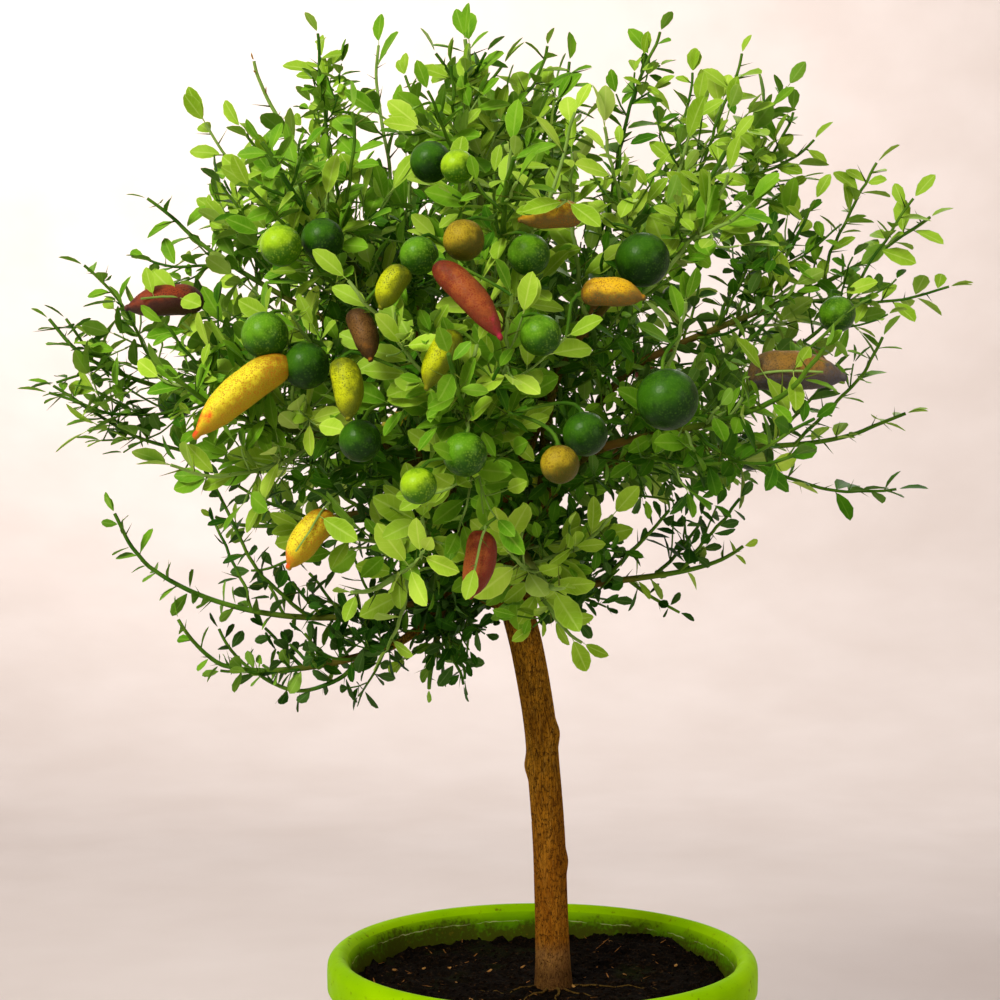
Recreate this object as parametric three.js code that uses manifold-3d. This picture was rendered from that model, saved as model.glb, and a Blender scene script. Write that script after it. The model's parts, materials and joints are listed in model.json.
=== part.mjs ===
// A finger lime grown as a small standard tree in a round plastic pot. Millimetres, +Z up.
// The origin is the middle of the pot's flat underside, and -Y is the side the tree is seen from.
// Every bough ends where its spray of foliage begins. A spray is a stem, the shoots that leave it,
// their leaves and any fruit, fused into one solid that keeps to the space nearest its own stem.
import * as THREE from "three";
import { mergeVertices } from "three/addons/utils/BufferGeometryUtils.js";
import Module from "manifold-3d";

const wasm = await Module();
wasm.setup();

// ---------------------------------------------------------------- driving dimensions
const GAP = 0.3; // clearance between one solid and the next that it rests on or grows from

const POT = {
  rimRadius: 150,
  footRadius: 104,
  height: 240,
  wall: 3,
  lipDrop: 24, // how far the turned-down lip hangs outside the wall
  lipWidth: 16,
  drainHoles: 6,
  drainRadius: 6,
  drainCircle: 62,
  sides: 32,
};
const SOIL_TOP = 215;

const TRUNK = {
  baseRadius: 11.4,
  flare: 2.2, // extra radius at the soil
  flareHeight: 20,
  forkHeight: 488, // taper begins here
  tipRadius: 6.2,
  sides: 10,
  steps: 18,
};
// The trunk stands almost plumb to an elbow at 392 mm, then leans to the left.
const TRUNK_LINE = [
  [8.2, 0, SOIL_TOP - 8],
  [6.5, 1, 268],
  [4.5, 1, 322],
  [1, 0, 368],
  [-1.5, -1, 398],
  [-10.5, -1, 450],
  [-21, 0, 490],
  [-33, 2, 532],
  [-42, 3, 578],
];
// Swellings where old shoots were cut off: height, bearing, how far they stand out.
const KNOTS = [
  [389, 0, 2.2],
  [366, 180, 1.8],
  [300, 20, 0.9],
  [452, 300, 1.1],
];

const HUB = new THREE.Vector3(-30, 0, 600); // the point that the crown's limbs spread out from

// A leaf here is larger than life and stands for several. It is widest at this share of its length.
const LEAF = { length: 54, width: 28, thickness: 1.6, widest: 0.56, fold: 0.2 };
const HIGH = { leafSize: 1, shoots: 5, lift: 0.14 };
const LOW = { leafSize: 0.58, shoots: 4, lift: 0.14 };
// Radii of a stem's foot and head and of a shoot's head; lengths of a step of growth and of a straight joint.
const TWIG = { stemFoot: 3.2, stemHead: 1.6, shootHead: 0.8, step: 17, joint: 92 };
// Shoots leave the stem at this angle, from its first share to its last, and get shorter towards its head.
const SHOOT = { angle: 54, first: 0.06, last: 0.8, longest: 185, shortest: 62 };
const PULL = { outward: 0.12, sway: 0.34 }; // how strongly a growing shoot turns away from HUB, and wanders
const SPACE_MARGIN = 1.6; // how much nearer to its own stem each point of a spray must be

// One row for each spray and its bough. Directions are [bearing, rise, distance] from HUB, in degrees and
// millimetres: bearing 0 is +X, 90 is the back, 180 is the left and 270 is the front.
// "on" and "at" say which limb the bough leaves and how far along it, and "leave" is the way that the bough
// points at its end, as [bearing, rise], where it doesn't point straight at the tip.
const HIGH_SPRAYS = [
  // the ring, whose boughs leave the trunk
  { name: "left", on: "trunk", at: 0.84, knee: [180, 2, 112], tip: [180, 11, 338] },
  { name: "front_left", on: "trunk", at: 0.8, knee: [222, -6, 105], tip: [225, 4, 296] },
  { name: "front", on: "trunk", at: 0.87, knee: [266, -4, 95], tip: [264, 5, 286] },
  { name: "front_right", on: "trunk", at: 0.82, knee: [312, -6, 105], tip: [314, 5, 294] },
  { name: "right_low", on: "trunk", at: 0.855, knee: [356, -6, 112], tip: [356, 1, 298] },
  { name: "back_right", on: "trunk", at: 0.79, knee: [45, -6, 110], tip: [45, 5, 300] },
  { name: "back", on: "trunk", at: 0.88, knee: [92, -4, 105], tip: [92, 6, 290] },
  { name: "back_left", on: "trunk", at: 0.83, knee: [135, -6, 110], tip: [136, 6, 305] },
  // the middle ring, on secondary boughs
  { name: "left_high", on: "left", at: 0.5, knee: [174, 34, 116], tip: [174, 33, 318] },
  { name: "front_left_high", on: "front_left", at: 0.5, knee: [232, 36, 105], tip: [230, 36, 296] },
  { name: "front_high", on: "front", at: 0.5, knee: [270, 34, 98], tip: [271, 33, 286] },
  { name: "front_right_high", on: "front_right", at: 0.5, knee: [308, 36, 105], tip: [309, 36, 296] },
  { name: "right_high", on: "right_low", at: 0.5, knee: [3, 27, 120], tip: [3, 26, 360] },
  { name: "back_right_high", on: "back_right", at: 0.5, knee: [52, 36, 110], tip: [51, 36, 305] },
  { name: "back_high", on: "back", at: 0.5, knee: [91, 33, 104], tip: [91, 32, 296] },
  { name: "back_left_high", on: "back_left", at: 0.5, knee: [128, 36, 110], tip: [129, 36, 305] },
  // the top
  { name: "top_left", on: "trunk", at: 0.94, knee: [178, 58, 104], tip: [177, 55, 330] },
  { name: "top_right", on: "trunk", at: 0.92, knee: [0, 54, 104], tip: [0, 50, 330] },
  { name: "top_front", on: "trunk", at: 0.995, knee: [262, 66, 96], tip: [258, 67, 286] },
  { name: "top_back", on: "trunk", at: 0.965, knee: [90, 62, 100], tip: [88, 63, 300] },
];

// The low sprays hang below the crown, with fewer shoots and smaller leaves. "lift" is how strongly
// their shoots rise.
const LOW_SPRAYS = [
  {
    name: "low_left",
    on: "trunk",
    at: 0.72,
    knee: [191, -70, 118],
    tip: [183, -18, 286],
    leave: [184, -24],
    lift: 0.32,
  },
  {
    name: "low_left_arch",
    on: "low_left",
    at: 0.8,
    knee: [185, -60, 176],
    tip: [185, -36, 274],
    leave: [184, -14],
    lift: 0.5,
  },
  { name: "low_left_spur", on: "low_left", at: 0.6, knee: [206, -70, 128], tip: [196, -74, 196] },
  { name: "low_right", on: "trunk", at: 0.735, knee: [352, -60, 122], tip: [354, -24, 200], lift: 0.3 },
  { name: "low_front", on: "trunk", at: 0.76, knee: [284, -52, 101], tip: [284, -33, 200] },
  { name: "low_front_left", on: "trunk", at: 0.748, knee: [236, -46, 104], tip: [240, -30, 222] },
  { name: "low_back_left", on: "trunk", at: 0.775, knee: [158, -30, 108], tip: [163, -16, 240] },
  { name: "low_back", on: "trunk", at: 0.73, knee: [75, -42, 102], tip: [78, -20, 240] },
];
const SPRAYS = [
  ...HIGH_SPRAYS.map((spray) => ({ ...HIGH, ...spray })),
  ...LOW_SPRAYS.map((spray) => ({ ...LOW, ...spray })),
];

// Fruit: where it hangs ([bearing, rise, distance] from HUB), its length and girth, and where its tip points.
const FINGER_FRUIT = [
  { at: [209, 19, 260], long: 50, wide: 24, points: [196, -8] }, // maroon
  { at: [266, 15, 254], long: 60, wide: 21, points: [340, -48] }, // red
  { at: [234, 3, 256], long: 72, wide: 25, points: [200, -40] }, // gold
  { at: [249, 4, 246], long: 36, wide: 20, points: [300, -76] }, // lime yellow
  { at: [254, 19, 247], long: 34, wide: 18, points: [200, -60] },
  { at: [262, 8, 238], long: 40, wide: 19, points: [210, -60] },
  { at: [250, 12, 236], long: 36, wide: 18, points: [320, -66] }, // brown
  { at: [278, 29, 244], long: 44, wide: 20, points: [184, -6] }, // amber
  { at: [290, 15, 242], long: 46, wide: 20, points: [350, -6] },
  { at: [318, 7, 246], long: 62, wide: 26, points: [350, -4] }, // plum and amber
  { at: [236, -19, 217], long: 44, wide: 22, points: [200, -52] },
  { at: [265, -23, 212], long: 42, wide: 22, points: [220, -76] },
];
const ROUND_FRUIT = [
  { at: [235, 12, 246], wide: 28 },
  { at: [241, 9, 229], wide: 28 },
  { at: [235, 25, 250], wide: 25 },
  { at: [238, 29, 230], wide: 26 },
  { at: [256, 42, 238], wide: 25 },
  { at: [263, 37, 250], wide: 20 },
  { at: [265, 24, 252], wide: 24 },
  { at: [257, 25, 230], wide: 23 },
  { at: [275, 26, 224], wide: 25 },
  { at: [276, 12, 233], wide: 24 },
  { at: [292, 23, 222], wide: 33 },
  { at: [294, 3, 237], wide: 36 },
  { at: [265, -5, 226], wide: 26 },
  { at: [259, -9, 243], wide: 21 },
  { at: [278, -6, 248], wide: 22 },
  { at: [283, -2, 222], wide: 26 },
  { at: [246, -4, 227], wide: 25 },
];

// ---------------------------------------------------------------- small helpers
const UP = new THREE.Vector3(0, 0, 1);
const radians = THREE.MathUtils.degToRad;

// A seeded stream of numbers from 0 to 1, the same on every run.
function seeded(seed) {
  let state = (seed * 2654435761) >>> 0;
  return () => {
    state = (Math.imul(state, 1664525) + 1013904223) >>> 0;
    return state / 4294967296;
  };
}

// A unit vector from a compass bearing and a rise above the level, both in degrees.
function heading(bearing, rise) {
  const flat = Math.cos(radians(rise));
  return new THREE.Vector3(
    flat * Math.cos(radians(bearing)),
    flat * Math.sin(radians(bearing)),
    Math.sin(radians(rise)),
  );
}

function fromHub([bearing, rise, distance]) {
  return heading(bearing, rise).multiplyScalar(distance).add(HUB);
}

// The same direction, turned square to an axis.
function squareTo(axis, vector) {
  return vector.clone().addScaledVector(axis, -vector.dot(axis)).normalize();
}

function distanceToLine(point, line) {
  const onLine = line.closestPointToPoint(point, true, new THREE.Vector3());
  return onLine.distanceTo(point);
}

// A closed three.js geometry as a manifold-3d solid.
function solid(geometry) {
  geometry.deleteAttribute("normal");
  geometry.deleteAttribute("uv");
  const merged = mergeVertices(geometry, 1e-4);
  return new wasm.Manifold(
    new wasm.Mesh({
      numProp: 3,
      vertProperties: new Float32Array(merged.attributes.position.array),
      triVerts: new Uint32Array(merged.index.array),
    }),
  );
}

// The largest single body of a solid.
function largest(made) {
  return made.decompose().sort((a, b) => b.volume() - a.volume())[0];
}

function meshOf(name, made, material) {
  const { numProp, vertProperties, triVerts, numVert } = made.getMesh();
  const places = new Float32Array(numVert * 3);
  for (let i = 0; i < numVert; i++) {
    places.set(vertProperties.subarray(i * numProp, i * numProp + 3), i * 3);
  }
  const geometry = new THREE.BufferGeometry();
  geometry.setAttribute("position", new THREE.BufferAttribute(places, 3));
  geometry.setIndex(new THREE.BufferAttribute(new Uint32Array(triVerts), 1));
  geometry.computeVertexNormals();
  const mesh = new THREE.Mesh(geometry, material);
  mesh.name = name;
  return mesh;
}

// The directions across a curve at each of its rings: "over" starts as near straight up as it can, and each
// ring carries on from the one before, so that the limb doesn't twist.
function ringFrames(curve, steps) {
  const plumb = Math.abs(curve.getTangentAt(0).z) > 0.95;
  let over = plumb ? new THREE.Vector3(1, 0, 0) : UP;
  return Array.from({ length: steps + 1 }, (_, row) => {
    const along = curve.getTangentAt(row / steps);
    over = squareTo(along, over);
    return { over, across: along.cross(over) };
  });
}

// The way out of a limb at an angle round it, measured from "over".
function wayOut({ over, across }, angle) {
  return over.clone().multiplyScalar(Math.cos(angle)).addScaledVector(across, Math.sin(angle));
}

// A round limb along a curve. radiusAt takes the share along it, the way that side faces and the axis there.
function limb(curve, steps, sides, radiusAt) {
  const frames = ringFrames(curve, steps);
  const geometry = new THREE.CylinderGeometry(1, 1, 1, sides, steps);
  const place = geometry.attributes.position;
  for (let i = 0; i < place.count; i++) {
    const row = Math.round((place.getY(i) + 0.5) * steps);
    const centre = curve.getPointAt(row / steps);
    if (Math.hypot(place.getX(i), place.getZ(i)) > 0.5) {
      const out = wayOut(frames[row], Math.atan2(place.getX(i), place.getZ(i)));
      centre.addScaledVector(out, radiusAt(row / steps, out, centre));
    }
    place.setXYZ(i, centre.x, centre.y, centre.z);
  }
  return solid(geometry);
}

// A place on a twig: the point on the straight line between two rings, the way that line runs, the twig's
// radius there, and the way out through the middle of one of its three faces.
function placeOn({ curve, steps, foot, head }, share, face = 0) {
  const row = Math.min(Math.floor(share * steps), steps - 1);
  const [from, to] = [curve.getPointAt(row / steps), curve.getPointAt((row + 1) / steps)];
  const along = to.clone().sub(from).normalize();
  const out = wayOut(ringFrames(curve, steps)[row], Math.PI / 3 + (face * 2 * Math.PI) / 3);
  return {
    point: from.lerp(to, share * steps - row),
    along,
    out: squareTo(along, out),
    radius: THREE.MathUtils.lerp(foot, head, share),
  };
}

// ---------------------------------------------------------------- materials
const paint = (color, roughness) => new THREE.MeshStandardMaterial({ color, roughness, metalness: 0 });
const MATERIALS = {
  pot: paint("#8fd600", 0.45),
  soil: paint("#1e1610", 0.95),
  bark: paint("#8a5a24", 0.85),
  foliage: paint("#4f8a2c", 0.6),
};

// ---------------------------------------------------------------- pot
// The radius of the pot's inner wall at a height.
function potInside(z) {
  const { rimRadius, footRadius, height, wall, lipWidth } = POT;
  return THREE.MathUtils.mapLinear(z, 0, height - 8, footRadius - wall, rimRadius - lipWidth);
}

// Half the pot's section: up the outside, round the turned-down lip, down the inside to the floor.
function potSection() {
  const { rimRadius, footRadius, height, wall, lipDrop, lipWidth } = POT;
  const lipFoot = height - lipDrop;
  const wallTop = rimRadius - lipWidth; // inner radius of the mouth
  const underLip = height - 5;
  return [
    [0, 0],
    [footRadius - 5, 0],
    [footRadius, 4],
    [potInside(lipFoot) + wall, lipFoot],
    [potInside(underLip) + wall, underLip],
    [rimRadius - wall - 1, underLip],
    [rimRadius - wall, lipFoot],
    [rimRadius - 0.6, lipFoot],
    [rimRadius, height - 12],
    [rimRadius - 2.4, height - 4],
    [rimRadius - lipWidth / 2, height],
    [wallTop + 2, height - 2.6],
    [wallTop, height - 8],
    [potInside(wall + 3), wall + 3],
    [potInside(wall) - 3, wall],
    [0, wall],
  ].map(([r, z]) => new THREE.Vector2(r, z));
}

// A lathe round +Z.
function turned(section, sides) {
  return new THREE.LatheGeometry(section, sides).rotateX(Math.PI / 2);
}

function pot() {
  let made = solid(turned(potSection(), POT.sides));
  for (let k = 0; k < POT.drainHoles; k++) {
    const turn = (k / POT.drainHoles) * 2 * Math.PI;
    const hole = new THREE.CylinderGeometry(POT.drainRadius, POT.drainRadius, POT.wall * 4, 6)
      .rotateX(Math.PI / 2)
      .translate(POT.drainCircle * Math.cos(turn), POT.drainCircle * Math.sin(turn), 0);
    made = made.subtract(solid(hole));
  }
  return made;
}

// ---------------------------------------------------------------- soil
// Low heaps: higher against the wall at the back right, level round the trunk's foot.
function soilRelief(x, y) {
  const fromTrunk = Math.hypot(x - TRUNK_LINE[0][0], y);
  const away = THREE.MathUtils.smoothstep(fromTrunk, 48, 80);
  const heap = 7 * Math.exp(-((x - 75) ** 2 + (y - 75) ** 2) / 2400);
  const ripple = 1.6 * Math.sin(x / 13 + 1) * Math.cos(y / 11);
  return away * (heap + ripple);
}

function soil() {
  const side = (z) => potInside(z) - 0.5;
  const edge = side(SOIL_TOP);
  const foot = POT.wall + GAP;
  const rings = [1, 0.82, 0.58, 0.3];
  const section = [
    [0, foot],
    [side(foot) - 4, foot],
    [side(foot + 4), foot + 4],
    ...rings.map((share) => [edge * share, SOIL_TOP]),
    [0, SOIL_TOP],
  ].map(([r, z]) => new THREE.Vector2(r, z));
  const geometry = turned(section, POT.sides);
  const place = geometry.attributes.position;
  for (let i = 0; i < place.count; i++) {
    const [x, y, z] = [place.getX(i), place.getY(i), place.getZ(i)];
    const inside = Math.hypot(x, y) < edge * 0.95;
    if (z > SOIL_TOP - 1 && inside) place.setZ(i, z + soilRelief(x, y));
  }
  return solid(geometry);
}

// ---------------------------------------------------------------- trunk and boughs
const limbs = new Map(); // name to { curve, steps, sides, radiusAt }

function limbSolid({ curve, steps, sides, radiusAt }, grow = 0) {
  return limb(curve, steps, sides, (share, out, centre) => radiusAt(share, out, centre) + grow);
}

// The trunk's radius: flared at the soil, even up to the fork, then tapering, with its knots.
function trunkRadius(share, out, centre) {
  const { baseRadius, flare, flareHeight, forkHeight, tipRadius } = TRUNK;
  const top = TRUNK_LINE.at(-1)[2];
  const flared = flare * Math.exp(-(centre.z - SOIL_TOP) / flareHeight);
  const taper = THREE.MathUtils.smoothstep(centre.z, forkHeight, top);
  const knots = KNOTS.reduce((sum, [z, bearing, size]) => {
    const facing = Math.max(0, out.dot(heading(bearing, 0)));
    return sum + size * facing ** 2 * Math.exp(-(((centre.z - z) / 11) ** 2));
  }, 0);
  return THREE.MathUtils.lerp(baseRadius, tipRadius, taper) + flared + knots;
}

function growTrunk() {
  limbs.set("trunk", {
    curve: new THREE.CatmullRomCurve3(TRUNK_LINE.map((place) => new THREE.Vector3(...place))),
    steps: TRUNK.steps,
    sides: TRUNK.sides,
    radiusAt: trunkRadius,
  });
}

// The way a bough points where it ends and its spray's stem begins.
function aimOf({ knee, tip, leave }) {
  return leave ? heading(...leave) : fromHub(tip).sub(fromHub(knee)).normalize();
}

// A bough leaves its parent's axis and swings out to its spray.
function growBough(spray) {
  const parent = limbs.get(spray.on);
  const start = parent.curve.getPointAt(spray.at);
  const end = fromHub(spray.knee);
  const aim = aimOf(spray);
  const reach = start.distanceTo(end);
  const out = squareTo(parent.curve.getTangentAt(spray.at), end.clone().sub(start));
  const leave = out.addScaledVector(parent.curve.getTangentAt(spray.at), 0.7).normalize();
  const primary = spray.on === "trunk";
  const [thick, thin] = primary ? [spray.leafSize < 1 ? 4.4 : 5.6, 3.2] : [3.8, 2.8];
  limbs.set(spray.name, {
    curve: new THREE.CubicBezierCurve3(
      start,
      start.clone().addScaledVector(leave, reach * 0.35),
      end.clone().addScaledVector(aim, -reach * 0.3),
      end,
    ),
    steps: 3,
    sides: 5,
    radiusAt: (share) => THREE.MathUtils.lerp(thick, thin, share),
  });
}

// Each bough is cut back from its parent and from the boughs made before it, so that it sits against them.
function boughSolids() {
  const trunk = limbSolid(limbs.get("trunk")).trimByPlane([0, 0, 1], SOIL_TOP + GAP);
  const made = new Map([["trunk", trunk]]);
  for (const spray of SPRAYS) {
    let bough = limbSolid(limbs.get(spray.name));
    for (const earlier of made.keys()) {
      bough = bough.subtract(limbSolid(limbs.get(earlier), GAP));
    }
    made.set(spray.name, largest(bough));
  }
  return made;
}

// ---------------------------------------------------------------- sprays
// Each spray's own axis: the straight line from its bough's end to its tip.
function axisOf(spray) {
  return new THREE.Line3(fromHub(spray.knee), fromHub(spray.tip));
}

const axes = new Map(SPRAYS.map((spray) => [spray.name, axisOf(spray)]));

// How much nearer a point is to this spray's axis than to any other's.
function lead(spray, point) {
  const own = distanceToLine(point, axes.get(spray.name));
  let nearest = Infinity;
  for (const [name, axis] of axes) {
    if (name !== spray.name) nearest = Math.min(nearest, distanceToLine(point, axis));
  }
  return nearest - own;
}

function holds(spray, point, room = 0) {
  return lead(spray, point) > SPACE_MARGIN + 2 * room;
}

// Whether a straight piece keeps this much room from the surface of every limb.
function clearOfLimbs(from, to, room) {
  const probe = new THREE.Vector3();
  for (const { curve, radiusAt } of limbs.values()) {
    for (let k = 0; k <= 16; k++) {
      const centre = curve.getPointAt(k / 16);
      const radius = radiusAt(k / 16, UP, centre);
      new THREE.Line3(from, to).closestPointToPoint(centre, true, probe);
      if (probe.distanceTo(centre) < radius + room) return false;
    }
  }
  return true;
}

// The stem runs on from the bough's end, lifts, and stops a leaf's length short of its tip.
function stemOf(spray) {
  const { start, end } = axes.get(spray.name);
  const aim = aimOf(spray);
  const foot = start.clone().addScaledVector(aim, GAP);
  const straight = end.clone().sub(start).normalize();
  const reach = start.distanceTo(end) - LEAF.length * spray.leafSize * 0.9;
  const head = start.clone().addScaledVector(straight, reach);
  const rising = straight.multiplyScalar(2).sub(aim).addScaledVector(UP, 0.25).normalize();
  return new THREE.CubicBezierCurve3(
    foot,
    foot.clone().addScaledVector(aim, reach * 0.35),
    head.clone().addScaledVector(rising, -reach * 0.3),
    head,
  );
}

// A shoot grows step by step, turning outward and up, and stops where its length or its space ends.
function shootLine(spray, start, direction, length, draw) {
  const points = [start.clone()];
  const facing = direction.clone();
  for (let gone = 0; gone < length; gone += TWIG.step) {
    const last = points.at(-1);
    const outward = last.clone().sub(HUB).normalize();
    const sway = new THREE.Vector3(draw() - 0.5, draw() - 0.5, draw() - 0.5);
    facing.addScaledVector(outward, PULL.outward).addScaledVector(UP, spray.lift);
    facing.addScaledVector(sway, PULL.sway).normalize();
    const next = last.clone().addScaledVector(facing, TWIG.step);
    if (next.distanceTo(HUB) > spray.tip[2] - LEAF.length * spray.leafSize * 0.9) break;
    if (!holds(spray, next, 2)) break;
    if (points.length > 1 && !clearOfLimbs(last, next, 2)) break;
    points.push(next);
  }
  return points;
}

// The stem and its shoots, in the order in which they leave it. Each leaves one of the stem's faces in turn.
function skeleton(spray, seed) {
  const curve = stemOf(spray);
  const reach = curve.getLength();
  const steps = Math.max(2, Math.round(reach / TWIG.joint));
  const stem = { curve, steps, foot: TWIG.stemFoot, head: TWIG.stemHead };
  const shoots = [];
  for (let k = 0; k < spray.shoots; k++) {
    const draw = seeded(seed * 100 + k);
    const share = THREE.MathUtils.lerp(SHOOT.first, SHOOT.last, (k + draw() * 0.5) / spray.shoots);
    const { point, along, out, radius } = placeOn(stem, share, k + seed);
    const angle = radians(SHOOT.angle);
    const direction = along.clone().multiplyScalar(Math.cos(angle)).addScaledVector(out, Math.sin(angle));
    const longest = THREE.MathUtils.lerp(SHOOT.longest, SHOOT.shortest, share) * (0.8 + 0.3 * draw());
    const points = shootLine(spray, point, direction, Math.min(longest, reach), draw);
    if (points.length < 3) continue;
    shoots.push({
      curve: new THREE.CatmullRomCurve3(points),
      steps: Math.max(1, Math.round((points.length * TWIG.step) / TWIG.joint)),
      foot: radius / 2,
      head: Math.min(radius / 2, TWIG.shootHead),
    });
  }
  return [stem, ...shoots];
}

function twigSolid({ curve, steps, foot, head }) {
  return limb(curve, steps, 3, (share) => THREE.MathUtils.lerp(foot, head, share));
}

// A six-faced leaf: a shallow V between its two edges, with a keel below.
function leafShape(root, direction, face, size) {
  const side = face.clone().cross(direction);
  const place = (along, across, up) =>
    root
      .clone()
      .addScaledVector(direction, along * LEAF.length * size)
      .addScaledVector(side, across * LEAF.width * size)
      .addScaledVector(face, up);
  const rise = LEAF.fold * LEAF.width * size * 0.5;
  const corners = [
    root,
    place(1, 0, 0),
    place(LEAF.widest, 0.5, rise),
    place(LEAF.widest, -0.5, rise),
    place(LEAF.widest, 0, -LEAF.thickness),
  ];
  const [foot, tip, left, right, keel] = [0, 1, 2, 3, 4];
  const geometry = new THREE.BufferGeometry().setFromPoints(corners);
  geometry.setIndex([
    ...[foot, tip, left],
    ...[foot, right, tip],
    ...[foot, left, keel],
    ...[left, tip, keel],
    ...[tip, right, keel],
    ...[right, foot, keel],
  ]);
  return { corners, width: LEAF.width * size, make: () => solid(geometry) };
}

// Three leaves leave each joint of a twig, each from the middle of one of its three faces, and one ends it.
// Their faces turn outward and a little up. A leaf that won't fit is tried again, smaller and at another angle.
const LEAF_SHARES = [0.2, 0.56, 0.84];
const TRIES = [
  { spread: 50, size: 1 },
  { spread: 34, size: 0.9 },
  { spread: 64, size: 0.84 },
];

function leavesOn(spray, twig, fits, draw) {
  for (let k = 0; k <= 3 * twig.steps; k++) {
    const atEnd = k === 3 * twig.steps;
    const share = atEnd ? 1 : (Math.floor(k / 3) + LEAF_SHARES[k % 3]) / twig.steps;
    const { point: on, along, out: side } = placeOn(twig, share, k);
    const outward = on.clone().sub(HUB).normalize().addScaledVector(UP, 0.45);
    const vary = draw();
    for (const { spread, size } of TRIES) {
      const lean = atEnd ? (spread - 50) / 60 : radians(spread + 10 * vary);
      const direction = along.clone().multiplyScalar(Math.cos(lean));
      direction.addScaledVector(side, Math.sin(lean));
      const face = squareTo(direction, outward.clone().addScaledVector(side, 0.3));
      const root = on.clone().addScaledVector(direction, atEnd ? -1.2 : -0.2);
      if (fits(leafShape(root, direction, face, spray.leafSize * size * (0.94 + 0.16 * vary)))) break;
    }
  }
}

// ---------------------------------------------------------------- fruit
// A fruit is turned round its own axis: blunt at the stalk, and pointed at the tip if it is a finger lime.
const FINGER_SECTION = [
  [0, 0],
  [0.36, 0.07],
  [0.5, 0.36],
  [0.42, 0.76],
  [0, 1],
];

function fruitSolid({ stalkEnd, axis, long, wide, round }) {
  const geometry = round
    ? new THREE.IcosahedronGeometry(wide / 2).translate(0, wide / 2, 0)
    : new THREE.LatheGeometry(
        FINGER_SECTION.map(([r, y]) => new THREE.Vector2(r * wide, y * long)),
        6,
      );
  const turn = new THREE.Quaternion().setFromUnitVectors(new THREE.Vector3(0, 1, 0), axis);
  geometry.applyQuaternion(turn).translate(...stalkEnd.toArray());
  return solid(geometry);
}

// The fruit's middle is moved until the whole of it is well inside the space of the nearest spray.
function settle(centre, room) {
  const spray = SPRAYS.reduce((a, b) => (lead(a, centre) > lead(b, centre) ? a : b));
  const middle = centre.clone();
  for (let k = 0; k < 30 && !holds(spray, middle, room); k++) {
    const target = new THREE.Vector3();
    axes.get(spray.name).closestPointToPoint(middle, true, target);
    middle.addScaledVector(target.sub(middle).normalize(), 2);
  }
  return { spray, middle };
}

function allFruit() {
  const round = ROUND_FRUIT.map((fruit) => ({
    ...fruit,
    long: fruit.wide,
    points: [fruit.at[0], -70],
    round: true,
  }));
  return [...FINGER_FRUIT, ...round].map((fruit) => {
    const axis = heading(...fruit.points);
    const { spray, middle } = settle(fromHub(fruit.at), fruit.wide / 2);
    const stalkEnd = middle.addScaledVector(axis, -fruit.long / 2);
    return { ...fruit, axis, spray, stalkEnd };
  });
}

// A bearing twig runs straight from the nearest place on the spray into the fruit's stalk end.
function bearingTwig(twigs, { stalkEnd, axis, long }) {
  const places = twigs.flatMap((twig) => Array.from({ length: 11 }, (_, k) => placeOn(twig, (k + 1) / 12)));
  const gap = ({ point }) => point.distanceTo(stalkEnd);
  const nearest = places.reduce((a, b) => (gap(a) < gap(b) ? a : b));
  const curve = new THREE.LineCurve3(nearest.point, stalkEnd.clone().addScaledVector(axis, long * 0.18));
  return { curve, steps: 1, foot: nearest.radius / 2, head: TWIG.shootHead };
}

// ---------------------------------------------------------------- the whole tree
// Whether two solids share any space; the boxes are compared first, because that is quick.
function overlap(a, b) {
  const [p, q] = [a.boundingBox(), b.boundingBox()];
  const apart = [0, 1, 2].some((i) => p.max[i] < q.min[i] || q.max[i] < p.min[i]);
  return !apart && !a.intersect(b).isEmpty();
}

// One spray: stem, shoots and bearing twigs, then fruit, then every leaf that keeps clear of all the rest.
function spraySolid(spray, seed, fruit) {
  const twigs = skeleton(spray, seed);
  const own = fruit.filter((f) => f.spray === spray);
  const wood = [...twigs, ...own.map((f) => bearingTwig(twigs, f))].map(twigSolid);
  const hung = own.map(fruitSolid);
  const blades = [];
  twigs.forEach((twig, k) => {
    const others = wood.filter((_, j) => j !== k).concat(hung);
    const fits = ({ corners, width, make }) => {
      if (!corners.every((p) => holds(spray, p))) return false;
      if (!clearOfLimbs(corners[0], corners[1], width / 2 + 1)) return false;
      const leaf = make();
      if ([...others, ...blades].some((other) => overlap(leaf, other))) return false;
      return blades.push(leaf);
    };
    leavesOn(spray, twig, fits, seeded(seed * 1000 + k));
  });
  return largest(wasm.Manifold.union([...wood, ...hung, ...blades]));
}

function build() {
  const tree = new THREE.Group();
  tree.add(meshOf("pot", pot(), MATERIALS.pot));
  tree.add(meshOf("soil", soil(), MATERIALS.soil));
  growTrunk();
  SPRAYS.forEach(growBough);
  for (const [name, made] of boughSolids()) {
    tree.add(meshOf(name === "trunk" ? "trunk" : `bough_${name}`, made, MATERIALS.bark));
  }
  const fruit = allFruit();
  SPRAYS.forEach((spray, k) => {
    tree.add(meshOf(`spray_${spray.name}`, spraySolid(spray, k + 1, fruit), MATERIALS.foliage));
  });
  return tree;
}

export default build();
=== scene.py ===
# %% [markdown]
# # A finger lime tree in its pot
#
# A finger lime is a small thorny citrus. This one is grown as a little standard: a bare trunk, a round crown
# and hanging fruit, in a plastic pot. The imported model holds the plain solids. This lesson replaces each of
# them with a finished mesh in the same place: the pot, the soil, the bark, then the twigs, spines, leaves
# and fruit, which grow from one written rule.

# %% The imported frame
import json
import math

import bpy
import numpy as np
from mathutils import Matrix, Vector, noise

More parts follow.
